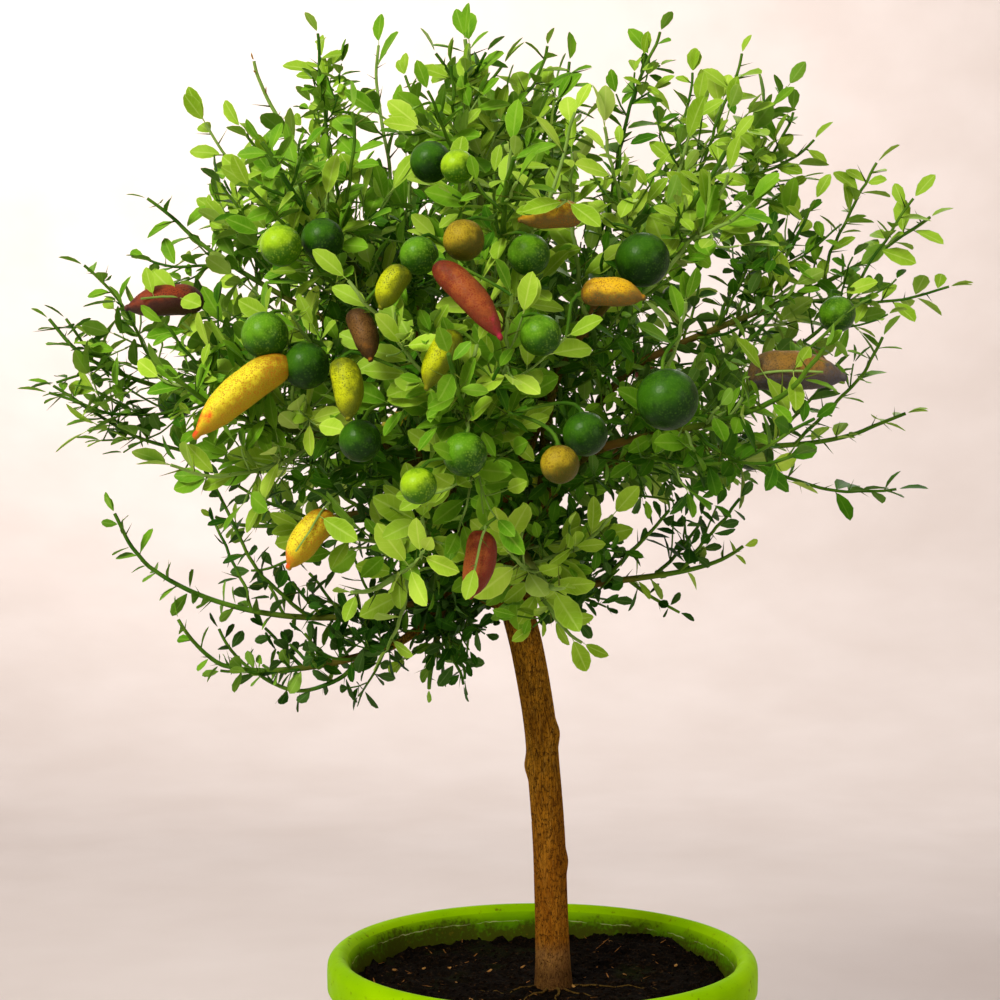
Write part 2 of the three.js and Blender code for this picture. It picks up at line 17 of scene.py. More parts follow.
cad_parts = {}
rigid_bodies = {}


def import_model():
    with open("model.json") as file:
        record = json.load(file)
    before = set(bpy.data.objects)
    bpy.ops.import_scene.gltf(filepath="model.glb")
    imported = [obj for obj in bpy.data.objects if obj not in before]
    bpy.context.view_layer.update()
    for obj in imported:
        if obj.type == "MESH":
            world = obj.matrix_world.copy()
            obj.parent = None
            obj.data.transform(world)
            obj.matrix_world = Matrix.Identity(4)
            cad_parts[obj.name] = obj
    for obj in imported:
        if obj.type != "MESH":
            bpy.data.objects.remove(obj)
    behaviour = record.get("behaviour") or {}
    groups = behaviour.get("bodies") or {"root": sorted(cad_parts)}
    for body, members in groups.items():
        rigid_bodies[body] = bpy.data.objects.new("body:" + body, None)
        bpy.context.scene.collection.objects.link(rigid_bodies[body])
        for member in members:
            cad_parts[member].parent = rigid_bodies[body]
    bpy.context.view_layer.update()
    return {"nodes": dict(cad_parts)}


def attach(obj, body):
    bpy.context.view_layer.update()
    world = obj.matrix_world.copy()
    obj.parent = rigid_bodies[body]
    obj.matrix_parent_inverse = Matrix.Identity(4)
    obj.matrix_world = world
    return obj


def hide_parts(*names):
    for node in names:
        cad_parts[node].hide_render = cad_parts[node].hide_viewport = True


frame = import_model()
MM = 0.001  # the tree is worked out in millimetres, and its meshes are made in metres
NODES = sorted(frame["nodes"])

# %% [markdown]
# ## The viewpoint
#
# The tree is seen from a little over a metre, level with the upper trunk, so the pot's foot is below the
# frame. A long lens keeps the crown round. A camera could be aimed at a target, but here it looks level
# along +Y, so its place and its focal length say everything.

# %% Camera
PICTURE_WIDTH = 1000  # pixels, of a square picture
FOCAL_LENGTH = 1784  # in the same pixels
EYE = (-0.0294, -1.249, 0.554)

camera_data = bpy.data.cameras.new("camera")
camera_data.sensor_width = 36.0
camera_data.lens = camera_data.sensor_width * FOCAL_LENGTH / PICTURE_WIDTH
camera = bpy.data.objects.new("camera", camera_data)
camera.location = EYE
camera.rotation_euler = (math.pi / 2, 0, 0)
bpy.context.scene.collection.objects.link(camera)
bpy.context.scene.camera = camera
bpy.context.scene.view_settings.view_transform = "Standard"
print("lens:", round(camera_data.lens, 1), "mm")

# %% [markdown]
# ## Helpers for nodes and colours
#
# Every material and every tree of geometry nodes below is built by the same small function. It adds one
# node, sets what it is given, links an input where it is given another node's output, and gives back one
# output. Colours are hex values, as a paint chart gives them, and one function turns them to linear.


# %% One node, one colour, one material
def linear(code):
    """An sRGB hex colour as the linear values that a shader takes."""
    shares = [int(code[i : i + 2], 16) / 255 for i in (1, 3, 5)]
    return (*[s / 12.92 if s <= 0.04045 else ((s + 0.055) / 1.055) ** 2.4 for s in shares], 1.0)


def node(tree, kind, inputs=None, out=0, stops=(), **settings):
    """Adds a node and gives back one of its outputs, or the node where out is None.

    An input is a value, a hex colour or another node's output. The stops of a ramp are (share, colour).
    """
    made = tree.nodes.new(kind)
    for name, value in settings.items():
        setattr(made, name, value)
    for socket, value in (inputs or {}).items():
        if isinstance(value, bpy.types.NodeSocket):
            tree.links.new(value, made.inputs[socket])
        elif isinstance(value, str) and value.startswith("#"):
            made.inputs[socket].default_value = linear(value)
        else:
            made.inputs[socket].default_value = value
    for k, (share, code) in enumerate(stops):
        elements = made.color_ramp.elements
        stop = elements[k] if k < len(elements) else elements.new(share)
        stop.position = share
        stop.color = linear(code)
    return made if out is None else made.outputs[out]


PLACE = "ShaderNodeTexCoord"
SPLIT = "ShaderNodeSeparateXYZ"
JOIN = "ShaderNodeCombineXYZ"
STRETCH = "ShaderNodeMapping"
NOISE = "ShaderNodeTexNoise"
CELLS = "ShaderNodeTexVoronoi"
RAMP = "ShaderNodeValToRGB"
RANGE = "ShaderNodeMapRange"
MATH = "ShaderNodeMath"
VECTORS = "ShaderNodeVectorMath"
MIX = "ShaderNodeMix"
VALUE = "ShaderNodeAttribute"
BUMP = "ShaderNodeBump"
SHADER = "ShaderNodeBsdfPrincipled"
SURFACE = "ShaderNodeOutputMaterial"


def new_material(name):
    """An empty material and its tree."""
    material = bpy.data.materials.new(name)
    material.use_nodes = True
    material.node_tree.nodes.clear()
    return material, material.node_tree


def grain(size):
    """The scale of a pattern whose grain is so many millimetres."""
    return 1 / (size * MM)


# %% [markdown]
# ## The studio
#
# The tree stands on a plain pale sweep, a floor that curves up into a wall all round, so that no line shows
# behind it from any side. A plane and a wall would meet in a corner. The sweep is one outline turned round
# the upright axis.


# %% A mesh from arrays, and a shape turned round the upright axis
def mesh_object(name, places, faces, materials=()):
    """An object at the origin whose smooth mesh has these corners, in metres, and these faces."""
    mesh = bpy.data.meshes.new(name)
    mesh.from_pydata([tuple(p) for p in places], [], faces)
    for material in materials:
        mesh.materials.append(material)
    mesh.polygons.foreach_set("use_smooth", [True] * len(mesh.polygons))
    mesh.update()
    made = bpy.data.objects.new(name, mesh)
    bpy.context.scene.collection.objects.link(made)
    return made


def turned_faces(rows, sides, closed_foot=True, closed_head=True):
    """The corner numbers of a turned shape: a pole first and last, where it is closed, and rings between."""
    start = 1 if closed_foot else 0
    faces = []

    def ring(row, side):
        return start + row * sides + side % sides

    if closed_foot:
        faces += [(0, ring(0, k + 1), ring(0, k)) for k in range(sides)]
    for row in range(rows - 1):
        for k in range(sides):
            faces.append((ring(row, k), ring(row, k + 1), ring(row + 1, k + 1), ring(row + 1, k)))
    if closed_head:
        head = start + rows * sides
        faces += [(ring(rows - 1, k), ring(rows - 1, k + 1), head) for k in range(sides)]
    return faces


def turned(name, section, sides, materials, closed=(True, True), shape=None):
    """Turns (radius, height) pairs, in millimetres, round +Z. The first runs at the foot."""
    poles = section[:1] if closed[0] else []
    heads = section[-1:] if closed[1] else []
    rows = section[len(poles) : len(section) - len(heads)]
    places = [(0, 0, z) for _, z in poles]
    for radius, z in rows:
        for k in range(sides):
            angle = 2 * math.pi * k / sides
            places.append((radius * math.cos(angle), radius * math.sin(angle), z))
    places += [(0, 0, z) for _, z in heads]
    places = np.array(places, float)
    if shape:
        places = shape(places)
    return mesh_object(name, places * MM, turned_faces(len(rows), sides, *closed), materials)


# %% Sweep
SWEEP = {"flat": 1900, "wall": 4600, "height": 5200}  # radii and height in millimetres


def sweep_section():
    bend = SWEEP["wall"] - SWEEP["flat"]
    arc = [math.radians(a) for a in range(0, 91, 5)]
    curve = [(SWEEP["flat"] + bend * math.sin(a), bend * (1 - math.cos(a))) for a in arc]
    return [(0, 0), (SWEEP["flat"] / 2, 0), *curve, (SWEEP["wall"], SWEEP["height"])]


# Matt emulsion rolled on plaster: no highlight, and a broad, faint unevenness.
plaster, tree = new_material("emulsion_rolled_on_plaster")
uneven = node(tree, NOISE, {"Vector": node(tree, PLACE, out="Object"), "Scale": grain(240), "Detail": 3.0})
colour = node(tree, RAMP, {0: uneven}, stops=[(0.3, "#d9d1cd"), (0.7, "#e0d9d6")])
shader = node(tree, SHADER, {"Base Color": colour, "Roughness": 0.95, "Specular IOR Level": 0.1})
node(tree, SURFACE, {"Surface": shader}, out=None)

sweep = turned("sweep", sweep_section(), 96, [plaster], closed=(True, False))
sweep.data.flip_normals()
print("sweep:", len(sweep.data.polygons), "faces,", 2 * SWEEP["wall"] / 1000, "m wide")

# %% [markdown]
# ## Light
#
# Soft daylight comes from the upper left, as from a window, with a weaker glow from the right and a pale
# sky all round. Large area lights give soft edges to the shadows. A sun lamp would give hard ones. One more
# lamp behind the tree brightens the upper left of the wall.


# %% Lamps and sky
def soft_lamp(name, place, aim, size, power, colour):
    data = bpy.data.lights.new(name, "AREA")
    data.shape = "DISK"
    data.size = size
    data.energy = power
    data.color = linear(colour)[:3]
    lamp = bpy.data.objects.new(name, data)
    lamp.location = place
    lamp.rotation_euler = (Vector(aim) - Vector(place)).to_track_quat("-Z", "Y").to_euler()
    bpy.context.scene.collection.objects.link(lamp)
    return lamp


CROWN_MIDDLE = (-0.03, 0, 0.6)
soft_lamp("window", (-1.5, -2.0, 2.3), CROWN_MIDDLE, 1.0, 74, "#fffaf2")
soft_lamp("fill", (2.0, -1.7, 1.1), CROWN_MIDDLE, 1.6, 9, "#fff6f0")
soft_lamp("back", (0.8, 2.2, 2.2), CROWN_MIDDLE, 1.4, 16, "#ffffff")
soft_lamp("wall_wash", (-0.7, 2.2, 2.8), (-0.5, 4.6, 2.3), 1.4, 74, "#fff7f2")
sky = bpy.data.worlds.new("sky")
sky.use_nodes = True
sky_light = sky.node_tree.nodes["Background"]
sky_light.inputs["Color"].default_value = linear("#fdf6f2")
sky_light.inputs["Strength"].default_value = 0.55
bpy.context.scene.world = sky
print("lamps:", [light.name for light in bpy.data.lights])

# %% [markdown]
# ## The pot
#
# The pot is moulded polypropylene in a vivid lime green: a tapered wall, a thick rolled rim whose band turns
# down outside the wall, and a floor with drain holes. It is a turned shape, so its section is drawn once and
# turned. A boolean cuts the drain holes. The section is the solid's own, with its corners rounded.

# %% The pot's measures
POT = {"rim": 150.0, "foot": 104.0, "height": 240.0, "wall": 3.0, "drop": 24.0, "lip": 16.0}
DRAIN = {"holes": 6, "radius": 6.0, "circle": 62.0}
SOIL_TOP = 215.0


def pot_inside(z):
    """The radius of the inner wall at a height."""
    share = z / (POT["height"] - 8)
    return (POT["foot"] - POT["wall"]) + share * (POT["rim"] - POT["lip"] - POT["foot"] + POT["wall"])


def rounded(corners, pieces=5):
    """An outline whose corners, given as (radius, height, fillet), become arcs of a few points."""
    made = []
    for k, (r, z, fillet) in enumerate(corners):
        here = np.array([r, z], float)
        if fillet == 0 or k in (0, len(corners) - 1):
            made.append(tuple(here))
            continue
        before = np.array(corners[k - 1][:2], float) - here
        after = np.array(corners[k + 1][:2], float) - here
        back = here + before / np.linalg.norm(before) * min(fillet, np.linalg.norm(before) * 0.48)
        on = here + after / np.linalg.norm(after) * min(fillet, np.linalg.norm(after) * 0.48)
        for share in np.linspace(0, 1, pieces):
            made.append(tuple((1 - share) ** 2 * back + 2 * share * (1 - share) * here + share**2 * on))
    return made


# %% The pot's section
def pot_section():
    wall, rim, height = POT["wall"], POT["rim"], POT["height"]
    lip_foot = height - POT["drop"]
    under = height - 5
    mouth = rim - POT["lip"]
    outline = [
        (0, 0, 0),
        (POT["foot"] - 3, 0, 3),
        (POT["foot"] + 0.6, 5, 4),
        (pot_inside(110) + wall, 110, 0),
        (pot_inside(lip_foot - 30) + wall, lip_foot - 30, 0),
        (pot_inside(under) + wall, under, 1),
        (rim - wall - 1, under, 1.5),
        (rim - wall - 0.4, lip_foot, 0.8),
        (rim - 0.5, lip_foot, 0.8),
        (rim - 0.2, height - 13, 3),
        (rim - 0.6, height - 5, 4),
        (rim - 6.5, height - 0.2, 4),
        (rim - 10.5, height - 0.6, 3),
        (mouth + 0.2, height - 6.5, 4),
        (pot_inside(200), 200, 0),
        (pot_inside(100), 100, 0),
        (pot_inside(wall + 4), wall + 4, 0),
        (pot_inside(wall) - 3, wall, 3),
        (0, wall, 0),
    ]
    return rounded(outline)


# %% [markdown]
# The plastic is smooth from its mould, so it catches the window softly on its rim. Inside, the wall is
# stained where water has stood: dark algae just above the soil, a thin broken tide line higher up, and
# specks of dirt on the rim. Just under the rim, the inner wall is darker with painted shade.


# %% Lime-green polypropylene
def pot_plastic(name, with_stains_and_painted_shade):
    material, tree = new_material(name)
    where = node(tree, PLACE, out="Object")
    cloud = node(tree, NOISE, {"Vector": where, "Scale": grain(60), "Detail": 3.0})
    colour = node(tree, RAMP, {0: cloud}, stops=[(0.35, "#82b600"), (0.65, "#96c800")])
    if with_stains_and_painted_shade:
        height = node(tree, SPLIT, {0: where}, out="Z")
        colour = inner_stains_and_painted_shade(tree, where, height, colour)
    dirt = node(tree, NOISE, {"Vector": where, "Scale": grain(4.5), "Detail": 4.0})
    dirt = node(tree, RANGE, {0: dirt, 1: 0.63, 2: 0.74, 4: 0.75})
    colour = node(tree, MIX, {0: dirt, 6: colour, 7: "#5b5410"}, out=2, data_type="RGBA")
    scuffs = node(tree, NOISE, {"Vector": where, "Scale": grain(9), "Detail": 3.0})
    rough = node(tree, RANGE, {0: scuffs, 1: 0.3, 2: 0.7, 3: 0.32, 4: 0.5})
    # The mould's own fine texture, drawn coarser than life so that it shows.
    skin = node(tree, NOISE, {"Vector": where, "Scale": grain(1.6), "Detail": 2.0})
    bump = node(tree, BUMP, {"Height": skin, "Distance": 0.05 * MM, "Strength": 1.0})
    inputs = {"Base Color": colour, "Roughness": rough, "Normal": bump, "Specular IOR Level": 0.006}
    node(tree, SURFACE, {"Surface": node(tree, SHADER, inputs)}, out=None)
    return material


def inner_stains_and_painted_shade(tree, where, height, colour):
    """The inner wall's stains and painted shade, one over another. Heights are in metres above the floor."""
    wavy = node(tree, NOISE, {"Vector": where, "Scale": grain(24), "Detail": 4.0})
    level = node(tree, MATH, {0: wavy, 1: -0.030, 2: height}, operation="MULTIPLY_ADD")
    # Painted shade: the inner wall just under the rim is darker green, as if the rim shaded it.
    painted_shade = node(tree, RANGE, {0: height, 1: 0.239, 2: 0.226})
    colour = node(tree, MIX, {0: painted_shade, 6: colour, 7: "#528404"}, out=2, data_type="RGBA")
    algae = node(tree, RANGE, {0: level, 1: 0.221, 2: 0.200, 4: 0.8})
    colour = node(tree, MIX, {0: algae, 6: colour, 7: "#34400a"}, out=2, data_type="RGBA")
    mottle = node(tree, NOISE, {"Vector": where, "Scale": grain(2.6), "Detail": 5.0})
    low = node(tree, RANGE, {0: level, 1: 0.228, 2: 0.204})
    mottle = node(tree, MATH, {0: mottle, 1: low}, operation="MULTIPLY")
    mottle = node(tree, RANGE, {0: mottle, 1: 0.24, 2: 0.42, 4: 0.8})
    colour = node(tree, MIX, {0: mottle, 6: colour, 7: "#3a3a0c"}, out=2, data_type="RGBA")
    # The tide line is under a millimetre of scale, and runs where the stain begins.
    fine = node(tree, NOISE, {"Vector": where, "Scale": grain(9), "Detail": 2.0})
    tide = node(tree, MATH, {0: fine, 1: -0.004, 2: height}, operation="MULTIPLY_ADD")
    tide = node(tree, MATH, {0: tide, 1: 0.2262, 2: 0.00035}, operation="COMPARE")
    broken = node(tree, NOISE, {"Vector": where, "Scale": grain(15), "Detail": 3.0})
    broken = node(tree, RANGE, {0: broken, 1: 0.42, 2: 0.58, 4: 0.8})
    tide = node(tree, MATH, {0: tide, 1: broken}, operation="MULTIPLY")
    return node(tree, MIX, {0: tide, 6: colour, 7: "#a9b070"}, out=2, data_type="RGBA")


# %% The pot's mesh
moulded_green = pot_plastic("moulded_green_polypropylene", False)
stained_green_with_painted_shade = pot_plastic("stained_green_polypropylene_with_painted_shade", True)
pot = turned("pot_moulded", pot_section(), 192, [moulded_green, stained_green_with_painted_shade])
for face in pot.data.polygons:
    r = math.hypot(face.center.x, face.center.y) / MM
    z = face.center.z / MM
    face.material_index = int(POT["wall"] < z < POT["height"] - 3 and r < pot_inside(z) + 1)

# %% Drain holes
cut = bpy.data.collections.new("drills")
for k in range(DRAIN["holes"]):
    turn = 2 * math.pi * k / DRAIN["holes"]
    rod = [(0, -4), (DRAIN["radius"], -4), (DRAIN["radius"], 8), (0, 8)]
    drill = turned(f"drill_{k}", rod, 24, [])
    shift = Vector((DRAIN["circle"] * math.cos(turn), DRAIN["circle"] * math.sin(turn), 0)) * MM
    drill.data.transform(Matrix.Translation(shift))
    cut.objects.link(drill)
boring = pot.modifiers.new("boring", "BOOLEAN")
boring.operation = "DIFFERENCE"
boring.operand_type = "COLLECTION"
boring.collection = cut
boring.solver = "EXACT"
pot_mesh = bpy.data.meshes.new_from_object(pot.evaluated_get(bpy.context.evaluated_depsgraph_get()))
pot.modifiers.clear()
pot.data = pot_mesh
for drill in list(cut.objects):
    bpy.data.objects.remove(drill)
bpy.data.collections.remove(cut)
print("pot:", len(pot.data.polygons), "faces")

# %% [markdown]
# ## Running a tree of geometry nodes
#
# What repeats or follows a path is made by geometry nodes. Each tree is built here, run on a plain source
# mesh whose points carry named attributes, and its result is kept as a plain mesh.

# %% Build and run
ATTRIBUTE = "GeometryNodeInputNamedAttribute"
STORE = "GeometryNodeStoreNamedAttribute"
INSTANCE = "GeometryNodeInstanceOnPoints"
REALIZE = "GeometryNodeRealizeInstances"
SMOOTH = "GeometryNodeSetShadeSmooth"
FINISH = "GeometryNodeSetMaterial"
AIM = "FunctionNodeAlignRotationToVector"
RANDOM = "FunctionNodeRandomValue"
COMPARE = "FunctionNodeCompare"
RESULT = "NodeGroupOutput"


def new_tree(name, sockets):
    """A tree with a geometry input and output and these named inputs: (name, socket kind, default)."""
    tree = bpy.data.node_groups.new(name, "GeometryNodeTree")
    tree.interface.new_socket("Geometry", in_out="OUTPUT", socket_type="NodeSocketGeometry")
    tree.interface.new_socket("Geometry", in_out="INPUT", socket_type="NodeSocketGeometry")
    for label, kind, default in sockets:
        made = tree.interface.new_socket(label, in_out="INPUT", socket_type="NodeSocket" + kind)
        if default is not None:
            made.default_value = default
    return tree, node(tree, "NodeGroupInput", out=None).outputs


def grown(name, source, tree, values):
    """The plain object that a tree makes from a source mesh, with these values for its named inputs."""
    carrier = bpy.data.objects.new(name, source)
    bpy.context.scene.collection.objects.link(carrier)
    modifier = carrier.modifiers.new("grow", "NODES")
    modifier.node_group = tree
    for item in tree.interface.items_tree:
        if item.in_out == "INPUT" and item.name in values:
            modifier[item.identifier] = values[item.name]
    result = carrier.evaluated_get(bpy.context.evaluated_depsgraph_get())
    mesh = bpy.data.meshes.new_from_object(result)
    carrier.modifiers.clear()
    carrier.data = mesh
    mesh.name = name
    return carrier


def triangles(made):
    return sum(len(face.vertices) - 2 for face in made.data.polygons)


def source_mesh(name, places, edges=(), **attributes):
    """Points, in millimetres, with edges and named attributes, as the source of a tree of nodes."""
    mesh = bpy.data.meshes.new(name)
    mesh.from_pydata([tuple(np.asarray(p) * MM) for p in places], list(edges), [])
    for label, values in attributes.items():
        values = np.asarray(values, dtype=np.float32)
        kind, field = ("FLOAT_VECTOR", "vector") if values.ndim == 2 else ("FLOAT", "value")
        mesh.attributes.new(label, kind, "POINT").data.foreach_set(field, values.ravel())
    return mesh


# %% [markdown]
# ## The soil
#
# Potting soil is dark, crumbly peat with flecks of bark, chips and roots. The surface is a disc with low
# heaps and clods from noise. Crumbs, fibres and chips are scattered over it by nodes, because there are
# hundreds.

# %% Soil surface
TRUNK_FOOT = (8.2, 0.0)


def smooth_step(value, low, high):
    share = min(1.0, max(0.0, (value - low) / (high - low)))
    return share * share * (3 - 2 * share)


def soil_height(x, y):
    """The solid's own relief, with clods added to it."""
    from_trunk = math.hypot(x - TRUNK_FOOT[0], y)
    heap = 10 * math.exp(-((x - 75) ** 2 + (y - 75) ** 2) / 2000)
    ripple = 1.6 * math.sin(x / 13 + 1) * math.cos(y / 11)
    clods = noise.fractal(Vector((x, y, 3.0)) / 11, 1.0, 2.1, 4) * 2.6
    crumbs = noise.noise(Vector((x, y, 9.0)) / 3.1) * 0.9
    rim = smooth_step(math.hypot(x, y), 112, 127)
    ragged = noise.fractal(Vector((x, y, 5.0)) / 7, 1.0, 2.1, 3) * 5.0
    lift = heap + ripple + rim * (1.6 + ragged)
    return smooth_step(from_trunk, 48, 80) * lift + min(1, from_trunk / 40) * (clods + crumbs)


def soil_places(places):
    for k, (x, y, z) in enumerate(places):
        if z > SOIL_TOP - 0.5:
            places[k, 2] = SOIL_TOP - 0.6 + soil_height(x, y)
    return places


# Peat drinks light: nearly black, matt, with grit and pale fibres that show as specks.
peat, tree = new_material("damp_peat_compost")
where = node(tree, PLACE, out="Object")
grit = node(tree, NOISE, {"Vector": where, "Scale": grain(2.4), "Detail": 4.0})
colour = node(tree, RAMP, {0: grit}, stops=[(0.3, "#040302"), (0.55, "#0c0804"), (0.72, "#20150a")])
fibre = node(tree, NOISE, {"Vector": where, "Scale": grain(4.5), "Detail": 3.0})
fibre = node(tree, RANGE, {0: fibre, 1: 0.64, 2: 0.74, 4: 0.5})
colour = node(tree, MIX, {0: fibre, 6: colour, 7: "#4c3218"}, out=2, data_type="RGBA")
moss = node(tree, NOISE, {"Vector": where, "Scale": grain(26), "Detail": 3.0})
moss = node(tree, RANGE, {0: moss, 1: 0.56, 2: 0.75, 4: 0.3})
colour = node(tree, MIX, {0: moss, 6: colour, 7: "#1c2606"}, out=2, data_type="RGBA")
bump = node(tree, BUMP, {"Height": grit, "Distance": 0.9 * MM, "Strength": 1.0})
inputs = {"Base Color": colour, "Roughness": 0.95, "Specular IOR Level": 0.02, "Normal": bump}
node(tree, SURFACE, {"Surface": node(tree, SHADER, inputs)}, out=None)

soil_edge = pot_inside(SOIL_TOP) - 0.15
bed = [(0, POT["wall"] + 0.3), (pot_inside(5) - 4, POT["wall"] + 0.3)]
bed += [(pot_inside(z) - 0.15, z) for z in (8, 70, 140, 205)]
bed += [(soil_edge * math.sqrt(share), SOIL_TOP) for share in np.linspace(1, 0.0004, 84)]
bed += [(0, SOIL_TOP)]
soil = turned("soil_bed", bed, 180, [peat], shape=soil_places)
print("soil:", triangles(soil), "triangles")

# %% Crumbs, fibres and chips
soil_scatter, given = new_tree(
    "scatter_on_soil",
    [
        ("Count per square metre", "Float", 1000.0),
        ("Longest", "Float", 0.003),
        ("Flatness", "Float", 0.7),
        ("Seed", "Int", 1),
        ("Finish", "Material", None),
    ],
)
facing = node(soil_scatter, SPLIT, {0: node(soil_scatter, "GeometryNodeInputNormal")}, out="Z")
on_top = node(soil_scatter, COMPARE, {0: facing, 1: 0.5}, operation="GREATER_THAN")
inputs = {"Mesh": given["Geometry"], "Selection": on_top, "Density": given[1], "Seed": given["Seed"]}
strewn = node(soil_scatter, "GeometryNodeDistributePointsOnFaces", inputs)
crumb = node(soil_scatter, "GeometryNodeMeshIcoSphere", {"Radius": 0.5, "Subdivisions": 1})
inputs = {0: (-0.6, -0.6, 0.0), 1: (0.6, 0.6, 6.28), "Seed": given["Seed"]}
spin = node(soil_scatter, RANDOM, inputs, data_type="FLOAT_VECTOR")
spin = node(soil_scatter, "FunctionNodeEulerToRotation", {0: spin})
wide = node(soil_scatter, MATH, {0: given["Longest"], 1: given["Flatness"]}, operation="MULTIPLY")
thin = node(soil_scatter, MATH, {0: wide, 1: given["Flatness"]}, operation="MULTIPLY")
thin = node(soil_scatter, MATH, {0: thin, 1: 0.0006}, operation="MAXIMUM")
largest = node(soil_scatter, JOIN, {0: given["Longest"], 1: wide, 2: thin})
smallest = node(soil_scatter, VECTORS, {0: largest, "Scale": 0.35}, operation="SCALE")
inputs = {0: smallest, 1: largest, "Seed": given["Seed"]}
size = node(soil_scatter, RANDOM, inputs, data_type="FLOAT_VECTOR")
inputs = {"Points": strewn, "Instance": crumb, "Rotation": spin, "Scale": size}
real = node(soil_scatter, REALIZE, {0: node(soil_scatter, INSTANCE, inputs)})
flat = node(soil_scatter, SMOOTH, {0: real, "Shade Smooth": False})
dressed = node(soil_scatter, FINISH, {0: flat, "Material": given["Finish"]})
node(soil_scatter, RESULT, {0: dressed}, out=None)


def plain_litter(name, first, second):
    """Dry bits of bark, root and wood: matt, and each bit a little lighter or darker than the next."""
    material, tree = new_material(name)
    where = node(tree, PLACE, out="Object")
    tint = node(tree, NOISE, {"Vector": where, "Scale": grain(9), "Detail": 2.0})
    colour = node(tree, RAMP, {0: tint}, stops=[(0.35, first), (0.65, second)])
    inputs = {"Base Color": colour, "Roughness": 0.9, "Specular IOR Level": 0.03}
    node(tree, SURFACE, {"Surface": node(tree, SHADER, inputs)}, out=None)
    return material


LITTER = [
    # name, finish, count per square metre, longest in metres, flatness, seed
    ("soil_crumbs", plain_litter("peat_crumb", "#050302", "#180f06"), 27000.0, 0.0046, 0.8, 3),
    ("soil_fibres", plain_litter("dry_root_fibre", "#5a3a18", "#8f6030"), 1300.0, 0.016, 0.07, 5),
    ("soil_chips", plain_litter("dry_bark_chip", "#6a4420", "#b08448"), 650.0, 0.0088, 0.5, 8),
]
litter = []
for name, finish, count, longest, flatness, seed in LITTER:
    values = {"Count per square metre": count, "Longest": longest, "Flatness": flatness, "Seed": seed}
    made = grown(name, soil.data.copy(), soil_scatter, {**values, "Finish": finish})
    litter.append(made)
    print(name, triangles(made), "triangles")

# %% [markdown]
# ## The rule that the tree grows by
#
# The solids were grown by a seeded rule, and the visible twigs grow by the same one, so that they run
# inside the same space. A bough swings out from the trunk, a stem carries on from its end, shoots leave
# the stem, and each step of a shoot turns outward, up and a little astray. Here the rule is written again
# and then carried on to finer twigs. The first part reads smooth curves by their length.

# %% Directions and seeded numbers
UP = np.array([0.0, 0.0, 1.0])
HUB = np.array([-30.0, 0.0, 600.0])  # the point that the crown's limbs spread out from


def unit(vector):
    return vector / np.linalg.norm(vector)


def seeded(seed):
    """A stream of numbers from 0 to 1 that is the same on every run."""
    state = (seed * 2654435761) % 2**32

    def draw():
        nonlocal state
        state = (state * 1664525 + 1013904223) % 2**32
        return state / 2**32

    return draw


def heading(bearing, rise):
    flat = math.cos(math.radians(rise))
    turn = math.radians(bearing)
    return np.array([flat * math.cos(turn), flat * math.sin(turn), math.sin(math.radians(rise))])


def from_hub(place):
    return HUB + heading(place[0], place[1]) * place[2]


def square_to(axis, vector):
    return unit(vector - axis * np.dot(vector, axis))


def lerp(low, high, share):
    return low + (high - low) * share


# %% Smooth curves, read by their share of length
class Course:
    """A curve given by a function of 0 to 1. Its points are asked for by their share of its length."""

    PARTS = 200

    def __init__(self, place):
        self.place = place
        self.steps = np.linspace(0, 1, self.PARTS + 1)
        points = np.array([place(t) for t in self.steps])
        runs = np.linalg.norm(np.diff(points, axis=0), axis=1)
        self.run = np.concatenate([[0], np.cumsum(runs)])
        self.length = float(self.run[-1])

    def step(self, share):
        return float(np.interp(share * self.length, self.run, self.steps))

    def point(self, share):
        return self.place(self.step(share))

    def tangent(self, share):
        t = self.step(share)
        low, high = max(0.0, t - 1e-4), min(1.0, t + 1e-4)
        return unit(self.place(high) - self.place(low))


def bezier(start, first, second, end):
    def place(t):
        s = 1 - t
        return s**3 * start + 3 * s * s * t * first + 3 * s * t * t * second + t**3 * end

    return Course(place)


def through(points):
    """A smooth curve through points, spaced by the square root of the gaps between them."""
    points = [np.asarray(p, float) for p in points]
    last = len(points) - 1

    def place(t):
        spot = last * t
        k = min(int(spot), last - 1)
        share = spot - k
        p1, p2 = points[k], points[k + 1]
        p0 = points[k - 1] if k > 0 else 2 * points[0] - points[1]
        p3 = points[k + 2] if k + 2 <= last else 2 * points[last] - points[last - 1]
        gaps = [np.linalg.norm(b - a) ** 0.5 for a, b in ((p0, p1), (p1, p2), (p2, p3))]
        d0, d1, d2 = (max(g, 1e-2) for g in gaps)
        m1 = ((p1 - p0) / d0 - (p2 - p0) / (d0 + d1) + (p2 - p1) / d1) * d1
        m2 = ((p2 - p1) / d1 - (p3 - p1) / (d1 + d2) + (p3 - p2) / d2) * d1
        return (
            p1
            + m1 * share
            + (-3 * p1 + 3 * p2 - 2 * m1 - m2) * share**2
            + (2 * p1 - 2 * p2 + m1 + m2) * share**3
        )

    return Course(place)


# %% [markdown]
# The measures below are the solid's own: the trunk's line, the table of sprays, and how a shoot grows.
# Directions are (bearing, rise, distance) from the crown's middle: bearing 0 is the right, 90 the back,
# 180 the left and 270 the front.

